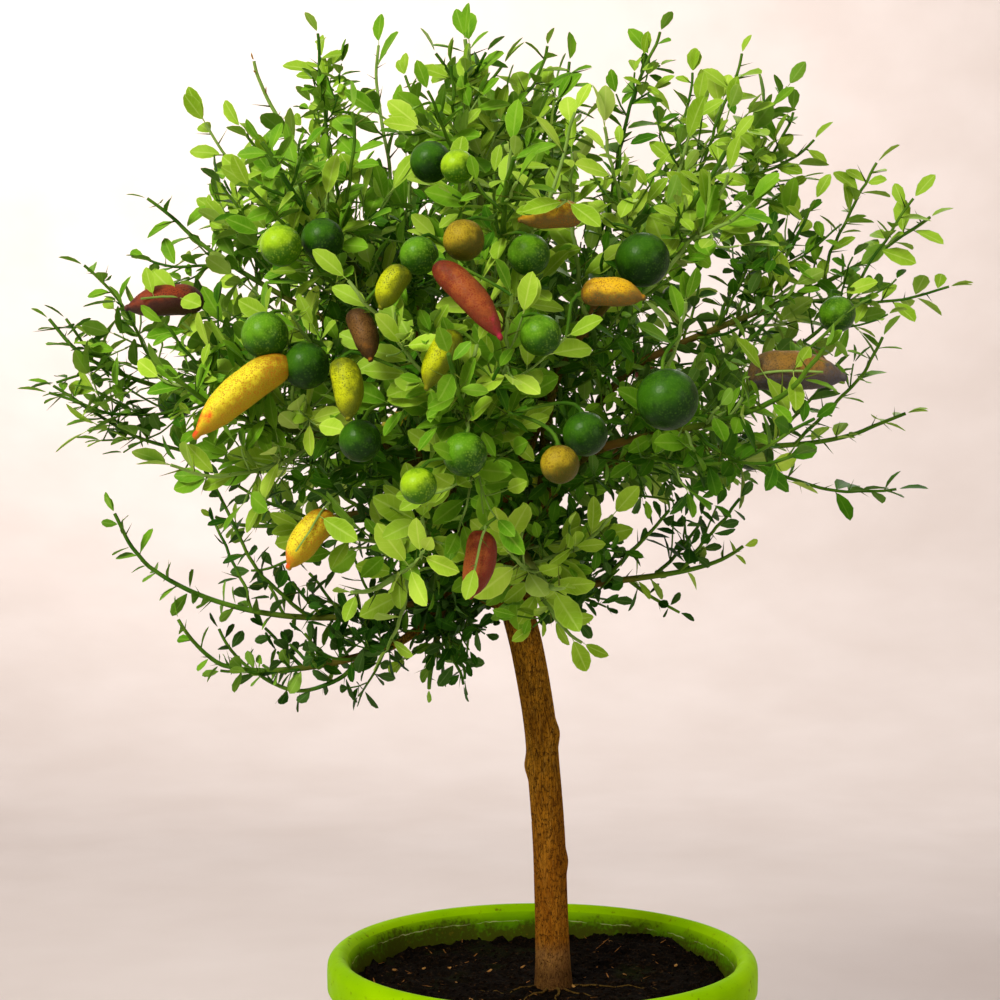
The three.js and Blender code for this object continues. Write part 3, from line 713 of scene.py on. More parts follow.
# %% The trunk's and the sprays' measures
TRUNK_LINE = [
    (8.2, 0, SOIL_TOP - 8),
    (6.5, 1, 268),
    (4.5, 1, 322),
    (1, 0, 368),
    (-1.5, -1, 398),
    (-10.5, -1, 450),
    (-21, 0, 490),
    (-33, 2, 532),
    (-42, 3, 578),
]
TRUNK = {"radius": 11.4, "flare": 2.2, "flare_height": 20, "fork": 488, "tip": 6.2}
OLD_LEAF = 54.0  # length of a leaf of the solids, which stands for several
HIGH = {"leaf": 1.0, "shoots": 5, "lift": 0.14}
LOW = {"leaf": 0.58, "shoots": 4, "lift": 0.14}
HIGH_ROWS = [
    # name, parent limb, share along it, knee, tip
    ("left", "trunk", 0.84, (180, 2, 112), (180, 11, 338)),
    ("front_left", "trunk", 0.8, (222, -6, 105), (225, 4, 296)),
    ("front", "trunk", 0.87, (266, -4, 95), (264, 5, 286)),
    ("front_right", "trunk", 0.82, (312, -6, 105), (314, 5, 294)),
    ("right_low", "trunk", 0.855, (356, -6, 112), (356, 1, 298)),
    ("back_right", "trunk", 0.79, (45, -6, 110), (45, 5, 300)),
    ("back", "trunk", 0.88, (92, -4, 105), (92, 6, 290)),
    ("back_left", "trunk", 0.83, (135, -6, 110), (136, 6, 305)),
    ("left_high", "left", 0.5, (174, 34, 116), (174, 33, 318)),
    ("front_left_high", "front_left", 0.5, (232, 36, 105), (230, 36, 296)),
    ("front_high", "front", 0.5, (270, 34, 98), (271, 33, 286)),
    ("front_right_high", "front_right", 0.5, (308, 36, 105), (309, 36, 296)),
    ("right_high", "right_low", 0.5, (3, 27, 120), (3, 26, 360)),
    ("back_right_high", "back_right", 0.5, (52, 36, 110), (51, 36, 305)),
    ("back_high", "back", 0.5, (91, 33, 104), (91, 32, 296)),
    ("back_left_high", "back_left", 0.5, (128, 36, 110), (129, 36, 305)),
    ("top_left", "trunk", 0.94, (178, 58, 104), (177, 55, 330)),
    ("top_right", "trunk", 0.92, (0, 54, 104), (0, 50, 330)),
    ("top_front", "trunk", 0.995, (262, 66, 96), (258, 67, 286)),
    ("top_back", "trunk", 0.965, (90, 62, 100), (88, 63, 300)),
]
LOW_ROWS = [
    # the same, then what is special to that spray
    ("low_left", "trunk", 0.72, (191, -70, 118), (183, -18, 286), {"leave": (184, -24), "lift": 0.32}),
    ("low_left_arch", "low_left", 0.8, (185, -60, 176), (185, -36, 274), {"leave": (184, -14), "lift": 0.5}),
    ("low_left_spur", "low_left", 0.6, (206, -70, 128), (196, -74, 196), {}),
    ("low_right", "trunk", 0.735, (352, -60, 122), (354, -24, 200), {"lift": 0.3}),
    ("low_front", "trunk", 0.76, (284, -52, 101), (284, -33, 200), {}),
    ("low_front_left", "trunk", 0.748, (236, -46, 104), (240, -30, 222), {}),
    ("low_back_left", "trunk", 0.775, (158, -30, 108), (163, -16, 240), {}),
    ("low_back", "trunk", 0.73, (75, -42, 102), (78, -20, 240), {}),
]
FIELDS = ("name", "on", "at", "knee", "tip")
SPRAYS = [{**HIGH, **dict(zip(FIELDS, row))} for row in HIGH_ROWS]
SPRAYS += [{**LOW, **dict(zip(FIELDS, row)), **row[5]} for row in LOW_ROWS]
print("sprays:", len(SPRAYS))

# %% Limbs: the trunk and the boughs
def trunk_radius(z):
    """The trunk's radius at a height: wider at the soil, and finer above the fork."""
    flared = TRUNK["flare"] * math.exp(-(z - SOIL_TOP) / TRUNK["flare_height"])
    taper = smooth_step(z, TRUNK["fork"], TRUNK_LINE[-1][2])
    return lerp(TRUNK["radius"], TRUNK["tip"], taper) + flared


limbs = {}
trunk_course = through(TRUNK_LINE)
limbs["trunk"] = {"course": trunk_course, "radius": lambda share: trunk_radius(trunk_course.point(share)[2])}


def aim_of(spray):
    if "leave" in spray:
        return heading(*spray["leave"])
    return unit(from_hub(spray["tip"]) - from_hub(spray["knee"]))


def grow_bough(spray):
    """A bough leaves its parent's axis and swings out to where its spray begins."""
    parent = limbs[spray["on"]]["course"]
    start, end, aim = parent.point(spray["at"]), from_hub(spray["knee"]), aim_of(spray)
    reach = np.linalg.norm(end - start)
    along = parent.tangent(spray["at"])
    leave = unit(square_to(along, end - start) + along * 0.7)
    course = bezier(start, start + leave * reach * 0.35, end - aim * reach * 0.3, end)
    thick, thin = (3.8, 2.8) if spray["on"] != "trunk" else (4.4 if spray["leaf"] < 1 else 5.6, 3.2)
    limbs[spray["name"]] = {"course": course, "radius": lambda share: lerp(thick, thin, share)}


for spray in SPRAYS:
    grow_bough(spray)
print("limbs:", len(limbs), "trunk:", round(trunk_course.length), "mm")

# %% Each spray keeps to the space nearest its own axis
AXES = np.array([[from_hub(s["knee"]), from_hub(s["tip"])] for s in SPRAYS])
AXIS_RUN = AXES[:, 1] - AXES[:, 0]
AXIS_SQUARE = np.einsum("ij,ij->i", AXIS_RUN, AXIS_RUN)
SPACE_MARGIN = 1.6


def lead(index, point):
    """How much nearer a point is to one spray's axis than to any other's."""
    away = point - AXES[:, 0]
    share = np.clip(np.einsum("ij,ij->i", away, AXIS_RUN) / AXIS_SQUARE, 0, 1)
    gaps = np.linalg.norm(away - share[:, None] * AXIS_RUN, axis=1)
    own = gaps[index]
    gaps[index] = np.inf
    return gaps.min() - own


def holds(index, point, room=0.0):
    return lead(index, point) > SPACE_MARGIN + 2 * room


LIMB_POINTS = []
for limb in limbs.values():
    for k in range(17):
        LIMB_POINTS.append((*limb["course"].point(k / 16), limb["radius"](k / 16)))
LIMB_POINTS = np.array(LIMB_POINTS)


def clear_of_limbs(start, end, room):
    """Whether a straight piece keeps this much room from the surface of every limb."""
    run = end - start
    away = LIMB_POINTS[:, :3] - start
    share = np.clip(away @ run / np.dot(run, run), 0, 1)
    gaps = np.linalg.norm(away - share[:, None] * run, axis=1)
    return bool((gaps >= LIMB_POINTS[:, 3] + room).all())


# %% Stems and shoots
TWIG = {"foot": 3.2, "head": 1.6, "shoot_head": 0.8, "step": 17.0, "joint": 92}
SHOOT = {"angle": 54, "first": 0.06, "last": 0.8, "longest": 185, "shortest": 62}
PULL = {"outward": 0.12, "sway": 0.34}


def stem_of(spray, index):
    start, end = AXES[index]
    aim = aim_of(spray)
    foot = start + aim * 0.3
    straight = unit(end - start)
    reach = np.linalg.norm(end - start) - OLD_LEAF * spray["leaf"] * 0.9
    head = start + straight * reach
    rising = unit(straight * 2 - aim + UP * 0.25)
    return bezier(foot, foot + aim * reach * 0.35, head - rising * reach * 0.3, head)


def rings(course, steps):
    """The direction across a course at each ring, carried on from one ring to the next."""
    over = np.array([1.0, 0, 0]) if abs(course.tangent(0)[2]) > 0.95 else UP
    made = []
    for row in range(steps + 1):
        along = course.tangent(row / steps)
        over = square_to(along, over)
        made.append((over, np.cross(along, over)))
    return made


def leaving(course, steps, share, face):
    """The point, the way along and the way out where a shoot leaves one of a stem's three faces."""
    row = min(int(share * steps), steps - 1)
    low, high = course.point(row / steps), course.point((row + 1) / steps)
    along = unit(high - low)
    over, across = rings(course, steps)[row]
    angle = math.pi / 3 + face * 2 * math.pi / 3
    out = over * math.cos(angle) + across * math.sin(angle)
    return lerp(low, high, share * steps - row), along, square_to(along, out)


def turn_facing(facing, point, lift, draw, outward_pull=PULL["outward"], sway_pull=PULL["sway"]):
    outward = unit(point - HUB)
    sway = np.array([draw() - 0.5, draw() - 0.5, draw() - 0.5])
    return unit(facing + outward * outward_pull + UP * lift + sway * sway_pull)


def shoot_points(spray, index, start, direction, length, draw):
    points, facing, gone = [start], direction, 0.0
    limit = spray["tip"][2] - OLD_LEAF * spray["leaf"] * 0.9
    while gone < length:
        gone += TWIG["step"]
        last = points[-1]
        facing = turn_facing(facing, last, spray["lift"], draw)
        after = last + facing * TWIG["step"]
        if np.linalg.norm(after - HUB) > limit or not holds(index, after, 2):
            break
        if len(points) > 1 and not clear_of_limbs(last, after, 2):
            break
        points.append(after)
    return points


def skeleton(spray, index):
    """The spray's stem, and its shoots as lists of points that start on the stem."""
    course = stem_of(spray, index)
    steps = max(2, int(course.length / TWIG["joint"] + 0.5))
    shoots = []
    for k in range(spray["shoots"]):
        draw = seeded((index + 1) * 100 + k)
        share = lerp(SHOOT["first"], SHOOT["last"], (k + draw() * 0.5) / spray["shoots"])
        point, along, out = leaving(course, steps, share, k + index + 1)
        angle = math.radians(SHOOT["angle"])
        direction = along * math.cos(angle) + out * math.sin(angle)
        longest = lerp(SHOOT["longest"], SHOOT["shortest"], share) * (0.8 + 0.3 * draw())
        points = shoot_points(spray, index, point, direction, min(longest, course.length), draw)
        if len(points) < 3:
            continue
        points[0] = course.point(share)
        shoots.append((share, points))
    return course, shoots


skeletons = [skeleton(spray, index) for index, spray in enumerate(SPRAYS)]
print("shoots:", sum(len(shoots) for _, shoots in skeletons))

# %% [markdown]
# ## The bark
#
# The trunk and boughs wear a skin of thin, golden-brown bark, split by fine fissures that run along the
# limb and show darker inside. A texture alone would leave the outline smooth, so nodes sweep a ring along
# every limb and push its points in at the fissures. The same value is kept on the mesh for its colour.

# %% The limbs as lines for the nodes
KNOTS = [(389, 0), (366, 180), (300, 20), (452, 300)]  # the height and bearing of old buds on the trunk
KNOT_OUT = 11  # how far from the trunk's middle they stand
# The bearing, length and radius of each root that shows on the soil:
ROOTS = [(246, 36, 1.1), (278, 42, 1.2), (306, 34, 0.8), (350, 66, 0.7), (200, 44, 0.7)]


def limb_line(name):
    """Points every few millimetres along a limb, and its radius at each. A bough has a collar at its foot."""
    limb = limbs[name]
    course = limb["course"]
    count = max(12, int(course.length / 3))
    shares = np.linspace(0.012 if name == "trunk" else 0, 1, count)
    radii = np.array([limb["radius"](share) for share in shares])
    if name == "trunk":
        radii = radii * np.where(shares > 0.985, 0.8, 1)
    else:
        host = next(s for s in SPRAYS if s["name"] == name)
        buried = limbs[host["on"]]["radius"](host["at"])
        past = np.maximum(0, shares * course.length - buried)
        radii = radii * (1 + 0.45 * np.exp(-past / 5))
    return [course.point(share) for share in shares], radii


def root_line(bearing, length, radius):
    """A root that shows on the soil: it leaves the trunk's foot, wanders and dips under."""
    points, radii = [], []
    for share in np.linspace(0, 1, 16):
        wander = math.sin(share * 5 + bearing) * 12 * share
        x, y, _ = heading(bearing + wander, 0) * (8 + length * share)
        x += TRUNK_FOOT[0]
        thick = radius * (1 - 0.62 * share)
        points.append((x, y, SOIL_TOP - 0.6 + soil_height(x, y) + thick * lerp(0.9, -0.8, share**3)))
        radii.append(thick)
    return points, np.array(radii)


def limb_mesh(name, lines):
    """All the lines as one source, numbered so that no two limbs repeat the same fissures."""
    places, edges, thickness, number = [], [], [], []
    for k, (points, radii) in enumerate(lines):
        first = len(places)
        places += list(points)
        edges += [(first + j, first + j + 1) for j in range(len(points) - 1)]
        thickness += list(radii * MM)
        number += [k] * len(points)
    return source_mesh(name, places, edges, thickness=thickness, limb_number=number)


trunk_low, trunk_high = TRUNK_LINE[0][2], TRUNK_LINE[-1][2]
knot_points = []
for z, bearing in KNOTS:
    middle = trunk_course.point((z - trunk_low) / (trunk_high - trunk_low))
    knot_points.append(middle + heading(bearing, 0) * KNOT_OUT)
knot_source = bpy.data.objects.new("knots", source_mesh("knots", knot_points))
bpy.context.scene.collection.objects.link(knot_source)

# %% A ring swept along the limbs
bark_tree, given = new_tree(
    "bark_on_limbs",
    [
        ("Ring spacing", "Float", 0.0012),
        ("Sides", "Int", 56),
        ("Fissure width", "Float", 0.0011),
        ("Fissure depth", "Float", 0.0006),
        ("Stretch", "Float", 0.065),
        ("Knots", "Object", None),
        ("Knot height", "Float", 0.0019),
        ("Bark", "Material", None),
    ],
)
lines = node(bark_tree, "GeometryNodeMeshToCurve", {0: given["Geometry"]})
inputs = {0: lines, "Length": given["Ring spacing"]}
lines = node(bark_tree, "GeometryNodeResampleCurve", inputs, mode="LENGTH")
run = node(bark_tree, "GeometryNodeSplineParameter", out="Length")
lines = node(bark_tree, STORE, {0: lines, "Name": "along_limb", "Value": run})
ring = node(bark_tree, "GeometryNodeCurvePrimitiveCircle", {"Resolution": given["Sides"], "Radius": 1.0})
about = node(bark_tree, "GeometryNodeSplineParameter")
about = node(bark_tree, MATH, {0: about, 1: math.tau}, operation="MULTIPLY")
ring = node(bark_tree, STORE, {0: ring, "Name": "around_limb", "Value": about})
thick = node(bark_tree, ATTRIBUTE, {"Name": "thickness"}, data_type="FLOAT")
inputs = {0: lines, 1: ring, "Scale": thick, "Fill Caps": True}
tube = node(bark_tree, "GeometryNodeCurveToMesh", inputs)

# %% Where on the bark, and how deep a fissure is there
turn = node(bark_tree, ATTRIBUTE, {"Name": "around_limb"}, data_type="FLOAT")
side_x = node(bark_tree, MATH, {0: turn}, operation="COSINE")
side_x = node(bark_tree, MATH, {0: side_x, 1: thick}, operation="MULTIPLY")
side_y = node(bark_tree, MATH, {0: turn}, operation="SINE")
side_y = node(bark_tree, MATH, {0: side_y, 1: thick}, operation="MULTIPLY")
up_limb = node(bark_tree, ATTRIBUTE, {"Name": "along_limb"}, data_type="FLOAT")
number = node(bark_tree, ATTRIBUTE, {"Name": "limb_number"}, data_type="FLOAT")
up_limb = node(bark_tree, MATH, {0: up_limb, 1: given["Stretch"], 2: number}, operation="MULTIPLY_ADD")
on_bark = node(bark_tree, JOIN, {0: side_x, 1: side_y, 2: up_limb})
fine = node(bark_tree, MATH, {0: 1.0, 1: given["Fissure width"]}, operation="DIVIDE")
weave = node(bark_tree, NOISE, {"Vector": on_bark, "Scale": fine, "Detail": 2.5, "Roughness": 0.6})
ridge = node(bark_tree, MATH, {0: weave, 1: 0.5}, operation="SUBTRACT")
ridge = node(bark_tree, MATH, {0: ridge}, operation="ABSOLUTE")
fissure = node(bark_tree, RANGE, {0: ridge, 1: 0.045, 2: 0.0})
broad_scale = node(bark_tree, MATH, {0: fine, 1: 7.0}, operation="DIVIDE")
broad = node(bark_tree, NOISE, {"Vector": on_bark, "Scale": broad_scale, "Detail": 2.0})
swell = node(bark_tree, RANGE, {0: broad, 3: -0.8, 4: 0.8})

# %% The bark pushed in at its fissures and out at its knots
knots = node(bark_tree, "GeometryNodeObjectInfo", {0: given["Knots"]}, out="Geometry")
inputs = {0: knots}
to_knot = node(bark_tree, "GeometryNodeProximity", inputs, out="Distance", target_element="POINTS")
knob = node(bark_tree, RANGE, {0: to_knot, 1: 0.012, 2: 0.0}, interpolation_type="SMOOTHSTEP")
knob = node(bark_tree, MATH, {0: knob, 1: given["Knot height"]}, operation="MULTIPLY")
share = node(bark_tree, RANGE, {0: thick, 1: 0.002, 2: 0.010, 3: 0.25, 4: 1.0})
depth = node(bark_tree, MATH, {0: given["Fissure depth"], 1: share}, operation="MULTIPLY")
pressed = node(bark_tree, MATH, {0: swell, 1: fissure}, operation="SUBTRACT")
lift = node(bark_tree, MATH, {0: pressed, 1: depth, 2: knob}, operation="MULTIPLY_ADD")
inputs = {0: node(bark_tree, "GeometryNodeInputNormal"), "Scale": lift}
outward = node(bark_tree, VECTORS, inputs, operation="SCALE")
skin = node(bark_tree, STORE, {0: tube, "Name": "fissure", "Value": fissure})
skin = node(bark_tree, "GeometryNodeSetPosition", {0: skin, "Offset": outward})
skin = node(bark_tree, SMOOTH, {0: node(bark_tree, REALIZE, {0: skin})})
skin = node(bark_tree, FINISH, {0: skin, "Material": given["Bark"]})
node(bark_tree, RESULT, {0: skin}, out=None)

# %% [markdown]
# Young citrus bark is golden brown and slightly rough, so it has no shine. Its fissures are darker, the
# trunk is redder toward its foot, grey where splashes have dried on it and dark where the soil keeps it
# damp. Thin boughs are still olive green.

# %% Golden citrus bark
citrus_bark, tree = new_material("golden_citrus_bark")
where = node(tree, PLACE, out="Object")
flattened = node(tree, STRETCH, {"Vector": where, "Scale": (1, 1, 0.3)})
patches = node(tree, NOISE, {"Vector": flattened, "Scale": grain(14), "Detail": 3.0})
colour = node(tree, RAMP, {0: patches}, stops=[(0.3, "#7a4e0c"), (0.5, "#986816"), (0.7, "#b48224")])
drawn = node(tree, STRETCH, {"Vector": where, "Scale": (1, 1, 0.08)})
pale = node(tree, NOISE, {"Vector": drawn, "Scale": grain(1.2), "Detail": 3.0})
pale = node(tree, RANGE, {0: pale, 1: 0.54, 2: 0.68, 4: 0.45})
colour = node(tree, MIX, {0: pale, 6: colour, 7: "#b08838"}, out=2, data_type="RGBA")
streaks = node(tree, NOISE, {"Vector": drawn, "Scale": grain(0.9), "Detail": 3.0, "Lacunarity": 2.3})
streaks = node(tree, RANGE, {0: streaks, 1: 0.5, 2: 0.64, 4: 0.6})
colour = node(tree, MIX, {0: streaks, 6: colour, 7: "#3a2a0c"}, out=2, data_type="RGBA")
cracks = node(tree, VALUE, out="Fac", attribute_name="fissure")
cracks = node(tree, MATH, {0: cracks, 1: 0.88}, operation="MULTIPLY")
colour = node(tree, MIX, {0: cracks, 6: colour, 7: "#2c1c08"}, out=2, data_type="RGBA")
height = node(tree, SPLIT, {0: where}, out="Z")
uneven = node(tree, NOISE, {"Vector": where, "Scale": grain(9), "Detail": 3.0})
height = node(tree, MATH, {0: uneven, 1: 0.012, 2: height}, operation="MULTIPLY_ADD")
rust = node(tree, RANGE, {0: height, 1: 0.38, 2: 0.29, 4: 0.6})
colour = node(tree, MIX, {0: rust, 6: colour, 7: "#84480c"}, out=2, data_type="RGBA")
grey = node(tree, RANGE, {0: height, 1: 0.254, 2: 0.244, 4: 0.36})
colour = node(tree, MIX, {0: grey, 6: colour, 7: "#6e6146"}, out=2, data_type="RGBA")
damp = node(tree, RANGE, {0: height, 1: 0.242, 2: 0.231, 4: 0.6})
colour = node(tree, MIX, {0: damp, 6: colour, 7: "#38230d"}, out=2, data_type="RGBA")
girth = node(tree, VALUE, out="Fac", attribute_name="thickness")
youth = node(tree, RANGE, {0: girth, 1: 0.0078, 2: 0.004, 4: 0.82})
above = node(tree, RANGE, {0: height, 1: 0.47, 2: 0.53, 3: 0.3})
youth = node(tree, MATH, {0: youth, 1: above}, operation="MULTIPLY")
colour = node(tree, MIX, {0: youth, 6: colour, 7: "#4c5418"}, out=2, data_type="RGBA")
# Fine cracks cross in a broken net drawn out up the trunk, its cells about two millimetres wide.
sway = node(tree, NOISE, {"Vector": where, "Scale": grain(3), "Detail": 3.0}, out="Color")
swayed = node(tree, VECTORS, {0: sway, 1: (0.005, 0.005, 0.01), 2: where}, operation="MULTIPLY_ADD")
swayed = node(tree, STRETCH, {"Vector": swayed, "Scale": (1, 1, 0.2)})
inputs = {"Vector": swayed, "Scale": grain(1.7)}
net = node(tree, CELLS, inputs, out="Distance", feature="DISTANCE_TO_EDGE")
net = node(tree, RANGE, {0: net, 1: 0.16, 2: 0.04})
gaps = node(tree, NOISE, {"Vector": where, "Scale": grain(2.6), "Detail": 2.0})
gaps = node(tree, RANGE, {0: gaps, 1: 0.38, 2: 0.6, 3: 0.15, 4: 0.85})
net = node(tree, MATH, {0: net, 1: gaps}, operation="MULTIPLY")
colour = node(tree, MIX, {0: net, 6: colour, 7: "#2c1c08"}, out=2, data_type="RGBA")
pores = node(tree, NOISE, {"Vector": drawn, "Scale": grain(0.8), "Detail": 3.0})
bump = node(tree, BUMP, {"Height": pores, "Distance": 0.15 * MM, "Strength": 1.0})
inputs = {"Base Color": colour, "Roughness": 0.85, "Specular IOR Level": 0.02, "Normal": bump}
node(tree, SURFACE, {"Surface": node(tree, SHADER, inputs)}, out=None)

values = {"Knots": knot_source, "Bark": citrus_bark, "Sides": 116, "Ring spacing": 0.0013}
trunk_bark = grown("bark_of_trunk", limb_mesh("trunk_line", [limb_line("trunk")]), bark_tree, values)
bough_lines = [limb_line(name) for name in limbs if name != "trunk"]
values = {**values, "Sides": 24, "Ring spacing": 0.0019}
bough_bark = grown("bark_of_boughs", limb_mesh("bough_lines", bough_lines), bark_tree, values)
root_lines = [root_line(*row) for row in ROOTS]
values = {**values, "Sides": 10, "Ring spacing": 0.0015, "Fissure depth": 0.0002}
surface_roots = grown("surface_roots", limb_mesh("root_lines", root_lines), bark_tree, values)
bpy.data.objects.remove(knot_source)
for made in (trunk_bark, bough_bark, surface_roots):
    print(made.name, triangles(made), "triangles")

# %% [markdown]
# ## Where the fruit hangs
#
# Each fruit has a place in the crown: its bearing, rise and distance from the crown's middle. It moves
# toward the nearest spray's axis until it has room, as the solid's fruit did.

# %% Fruit on the near side
FINGERS = [
    # place from the middle, length, girth, where the tip points, skin
    ((209, 19, 260), 50, 20, (196, -8), "maroon"),
    ((266, 15, 254), 60, 17, (340, -48), "red"),
    ((234, 3, 256), 74, 21.5, (200, -40), "gold"),
    ((249, 4, 246), 38, 18, (300, -76), "lime_yellow"),
    ((254, 19, 247), 29, 16, (200, -60), "lime_yellow"),
    ((262, 8, 238), 40, 16, (210, -60), "lime_yellow"),
    ((250, 12, 236), 34, 15.5, (320, -66), "brown"),
    ((278, 29, 244), 38, 16.5, (184, -6), "amber"),
    ((290, 15, 242), 38, 17, (350, -6), "amber"),
    ((318, 7, 246), 60, 24, (350, -4), "plum"),
    ((236, -19, 217), 44, 19, (200, -52), "gold"),
    ((265, -23, 212), 42, 19, (220, -76), "red"),
]
ROUNDS = [
    ((235, 12, 246), 28, "green"),
    ((241, 9, 229), 28, "dark"),
    ((235, 25, 250), 25, "bright"),
    ((238, 29, 230), 26, "dark"),
    ((256, 42, 238), 25, "dark"),
    ((263, 37, 250), 20, "bright"),
    ((265, 24, 252), 24, "bronze"),
    ((257, 25, 230), 23, "green"),
    ((275, 26, 224), 25, "green"),
    ((276, 12, 233), 24, "green"),
    ((292, 23, 222), 33, "dark"),
    ((294, 3, 237), 36, "dark"),
    ((265, -5, 226), 26, "green"),
    ((259, -9, 243), 21, "bright"),
    ((278, -6, 248), 22, "bronze"),
    ((283, -2, 222), 26, "dark"),
    ((246, -4, 227), 25, "dark"),
]

# %% Fruit on the far side
BACK_FINGERS = [
    ((62, 14, 250), 56, 18, (30, -46), "red"),
    ((112, 2, 248), 64, 21, (160, -40), "gold"),
    ((20, 10, 250), 50, 21, (340, -30), "plum"),
    ((150, 22, 252), 46, 19, (190, -50), "maroon"),
    ((84, -8, 236), 40, 17, (60, -70), "lime_yellow"),
]
BACK_ROUNDS = [
    ((48, 28, 236), 26, "green"),
    ((98, 22, 238), 28, "dark"),
    ((128, 12, 240), 27, "green"),
    ((34, -2, 236), 30, "dark"),
    ((76, 34, 232), 24, "bright"),
    ((166, 6, 246), 26, "dark"),
    ((350, 18, 248), 25, "green"),
    ((104, -4, 232), 25, "bronze"),
]


# %% Each fruit settled in its spray
def settled(place, room):
    """The fruit's middle, moved toward the nearest spray's axis until it has its room."""
    middle = from_hub(place)
    index = max(range(len(SPRAYS)), key=lambda k: lead(k, middle))
    for _ in range(30):
        if holds(index, middle, room):
            break
        start, run = AXES[index][0], AXIS_RUN[index]
        share = min(1.0, max(0.0, float(np.dot(middle - start, run)) / AXIS_SQUARE[index]))
        middle = middle + unit(start + share * run - middle) * 2
    return index, middle


def hung(place, long, wide, points, skin, kind):
    index, middle = settled(place, wide / 2)
    axis = heading(*points)
    stalk_end = middle - axis * long / 2
    parts = {"spray": index, "middle": middle, "axis": axis, "stalk_end": stalk_end}
    return {**parts, "long": long, "wide": wide, "skin": skin, "kind": kind}


fruits = [hung(*row, "finger") for row in FINGERS + BACK_FINGERS]
fruits += [hung(at, w, w, (at[0], -70), skin, "round") for at, w, skin in ROUNDS + BACK_ROUNDS]
print("fruit:", len(fruits))

# %% What is in a fruit or in front of one
FRUIT_ENDS = np.array([[f["stalk_end"], f["stalk_end"] + f["axis"] * f["long"]] for f in fruits])
FRUIT_RADII = np.array([f["wide"] / 2 for f in fruits])
SHOWN = {"finger": 0.7, "round": 0.15}  # the share of leaves that leave a fruit in view
FRUIT_SHOWN = np.array([SHOWN[f["kind"]] for f in fruits])
# The side that each fruit shows is outward and a little to the near side or the far side:
FRUIT_SIDES = [unit(f["middle"] - HUB) + [0, 0.8 * np.sign(f["middle"][1]), 0] for f in fruits]
FRUIT_SIDES = np.array([unit(side) for side in FRUIT_SIDES])


def hits_fruit(point, room):
    """Whether a point is in a fruit, and how surely it is left out so that a fruit shows."""
    run = FRUIT_ENDS[:, 1] - FRUIT_ENDS[:, 0]
    away = point - FRUIT_ENDS[:, 0]
    share = np.clip(np.einsum("ij,ij->i", away, run) / np.einsum("ij,ij->i", run, run), 0, 1)
    gap = away - share[:, None] * run
    inside = np.linalg.norm(gap, axis=1) < FRUIT_RADII + room
    ahead = np.einsum("ij,ij->i", gap, FRUIT_SIDES)
    beside = np.linalg.norm(gap - ahead[:, None] * FRUIT_SIDES, axis=1)
    over = (ahead > 0) & (beside < FRUIT_RADII * 0.92)
    return bool(inside.any()), float(np.max(FRUIT_SHOWN * over))


# %% [markdown]
# ## Twigs that carry on from the solids' shoots
#
# Each shoot of the rule is followed from bud to bud, a little zigzag. From there it grows on to its last
# tip, and finer side twigs leave it in a spiral of 137.5 degrees, as buds do. A twig stops where it would
# leave its spray's space, run into a limb or enter a fruit.

# %% Twigs grown on
STRIDE = 8.5  # from one bud to the next, in millimetres
SPIRAL = math.radians(137.5)
LAST_LEAF = 12  # how far short of the crown's reach a twig stops, so that its last leaf ends there
# In the order of stem, shoot, side twig and twig on that:
SPREAD = (1.0, 0.98, 0.88, 0.86)  # how far out it may grow, against the crown's reach
HEADS = (1.3, 1.05, 0.7, 0.6)  # its radius at the tip
ZIGZAG = (0.3, 0.55, 0.4, 0.3)  # how far it swings at a bud
STALK = 9  # the order that a fruit's stalk is given
twigs = []

# %% Open sprays and front sprays
# The thinner sprays keep this share of their side twigs, and are short of leaves by half of the rest, so
# that light comes through them.
THIN = {
    "left": 0.55,
    "left_high": 0.8,
    "front_right": 0.48,
    "front_right_high": 0.72,
    "right_low": 0.32,
    "right_high": 0.34,
    "back_right": 0.52,
    "back_right_high": 0.58,
    "top_left": 0.8,
    "top_right": 0.5,
    "low_left": 0.75,
    "low_right": 0.45,
    "low_front": 0.6,
    "low_front_left": 0.75,
}
FRONT = {"front", "front_left", "front_right", "front_high", "front_left_high", "front_right_high"}
FRONT |= {"top_front", "low_front", "low_front_left"}
# Each use of the seeded numbers starts from a seed of its own.
SEED = {"look": 60000, "stem": 5000, "spur": 20000, "stalk": 9000, "sprig": 9500, "leaves": 70000}


# %% How a twig runs on
def followed(course):
    """Points along a curve, one for each bud."""
    count = max(2, int(course.length / STRIDE + 0.5))
    return [course.point(share) for share in np.linspace(0, 1, count + 1)]


def carried_on(index, order, points, facing, length, draw, room=0.6):
    """Grows a line of points on by the rule, at a finer stride."""
    spray = SPRAYS[index]
    limit = spray["tip"][2] * SPREAD[order] - LAST_LEAF
    points = list(points)
    for _ in range(int(length / STRIDE)):
        last = points[-1]
        facing = turn_facing(facing, last, spray["lift"] * 0.55, draw, 0.06, 0.3)
        after = last + facing * STRIDE
        if np.linalg.norm(after - HUB) > limit or not holds(index, after, room):
            break
        if len(points) > 1 and not clear_of_limbs(last, after, 1.5):
            break
        if hits_fruit(after, 1.5)[0]:
            break
        points.append(after)
    return points


def frame_at(points, k):
    """The way along a line at one of its points, and two ways square to it."""
    low, high = points[max(0, k - 1)], points[min(len(points) - 1, k + 1)]
    along = unit(high - low)
    over = square_to(along, UP if abs(along[2]) < 0.95 else np.array([1.0, 0, 0]))
    return along, over, np.cross(along, over)


# %% Which leaves a twig bears
ZONE = {"near": -30, "left": -175, "right": 135, "low": 545, "high": 720}  # of a twig's tip, in millimetres


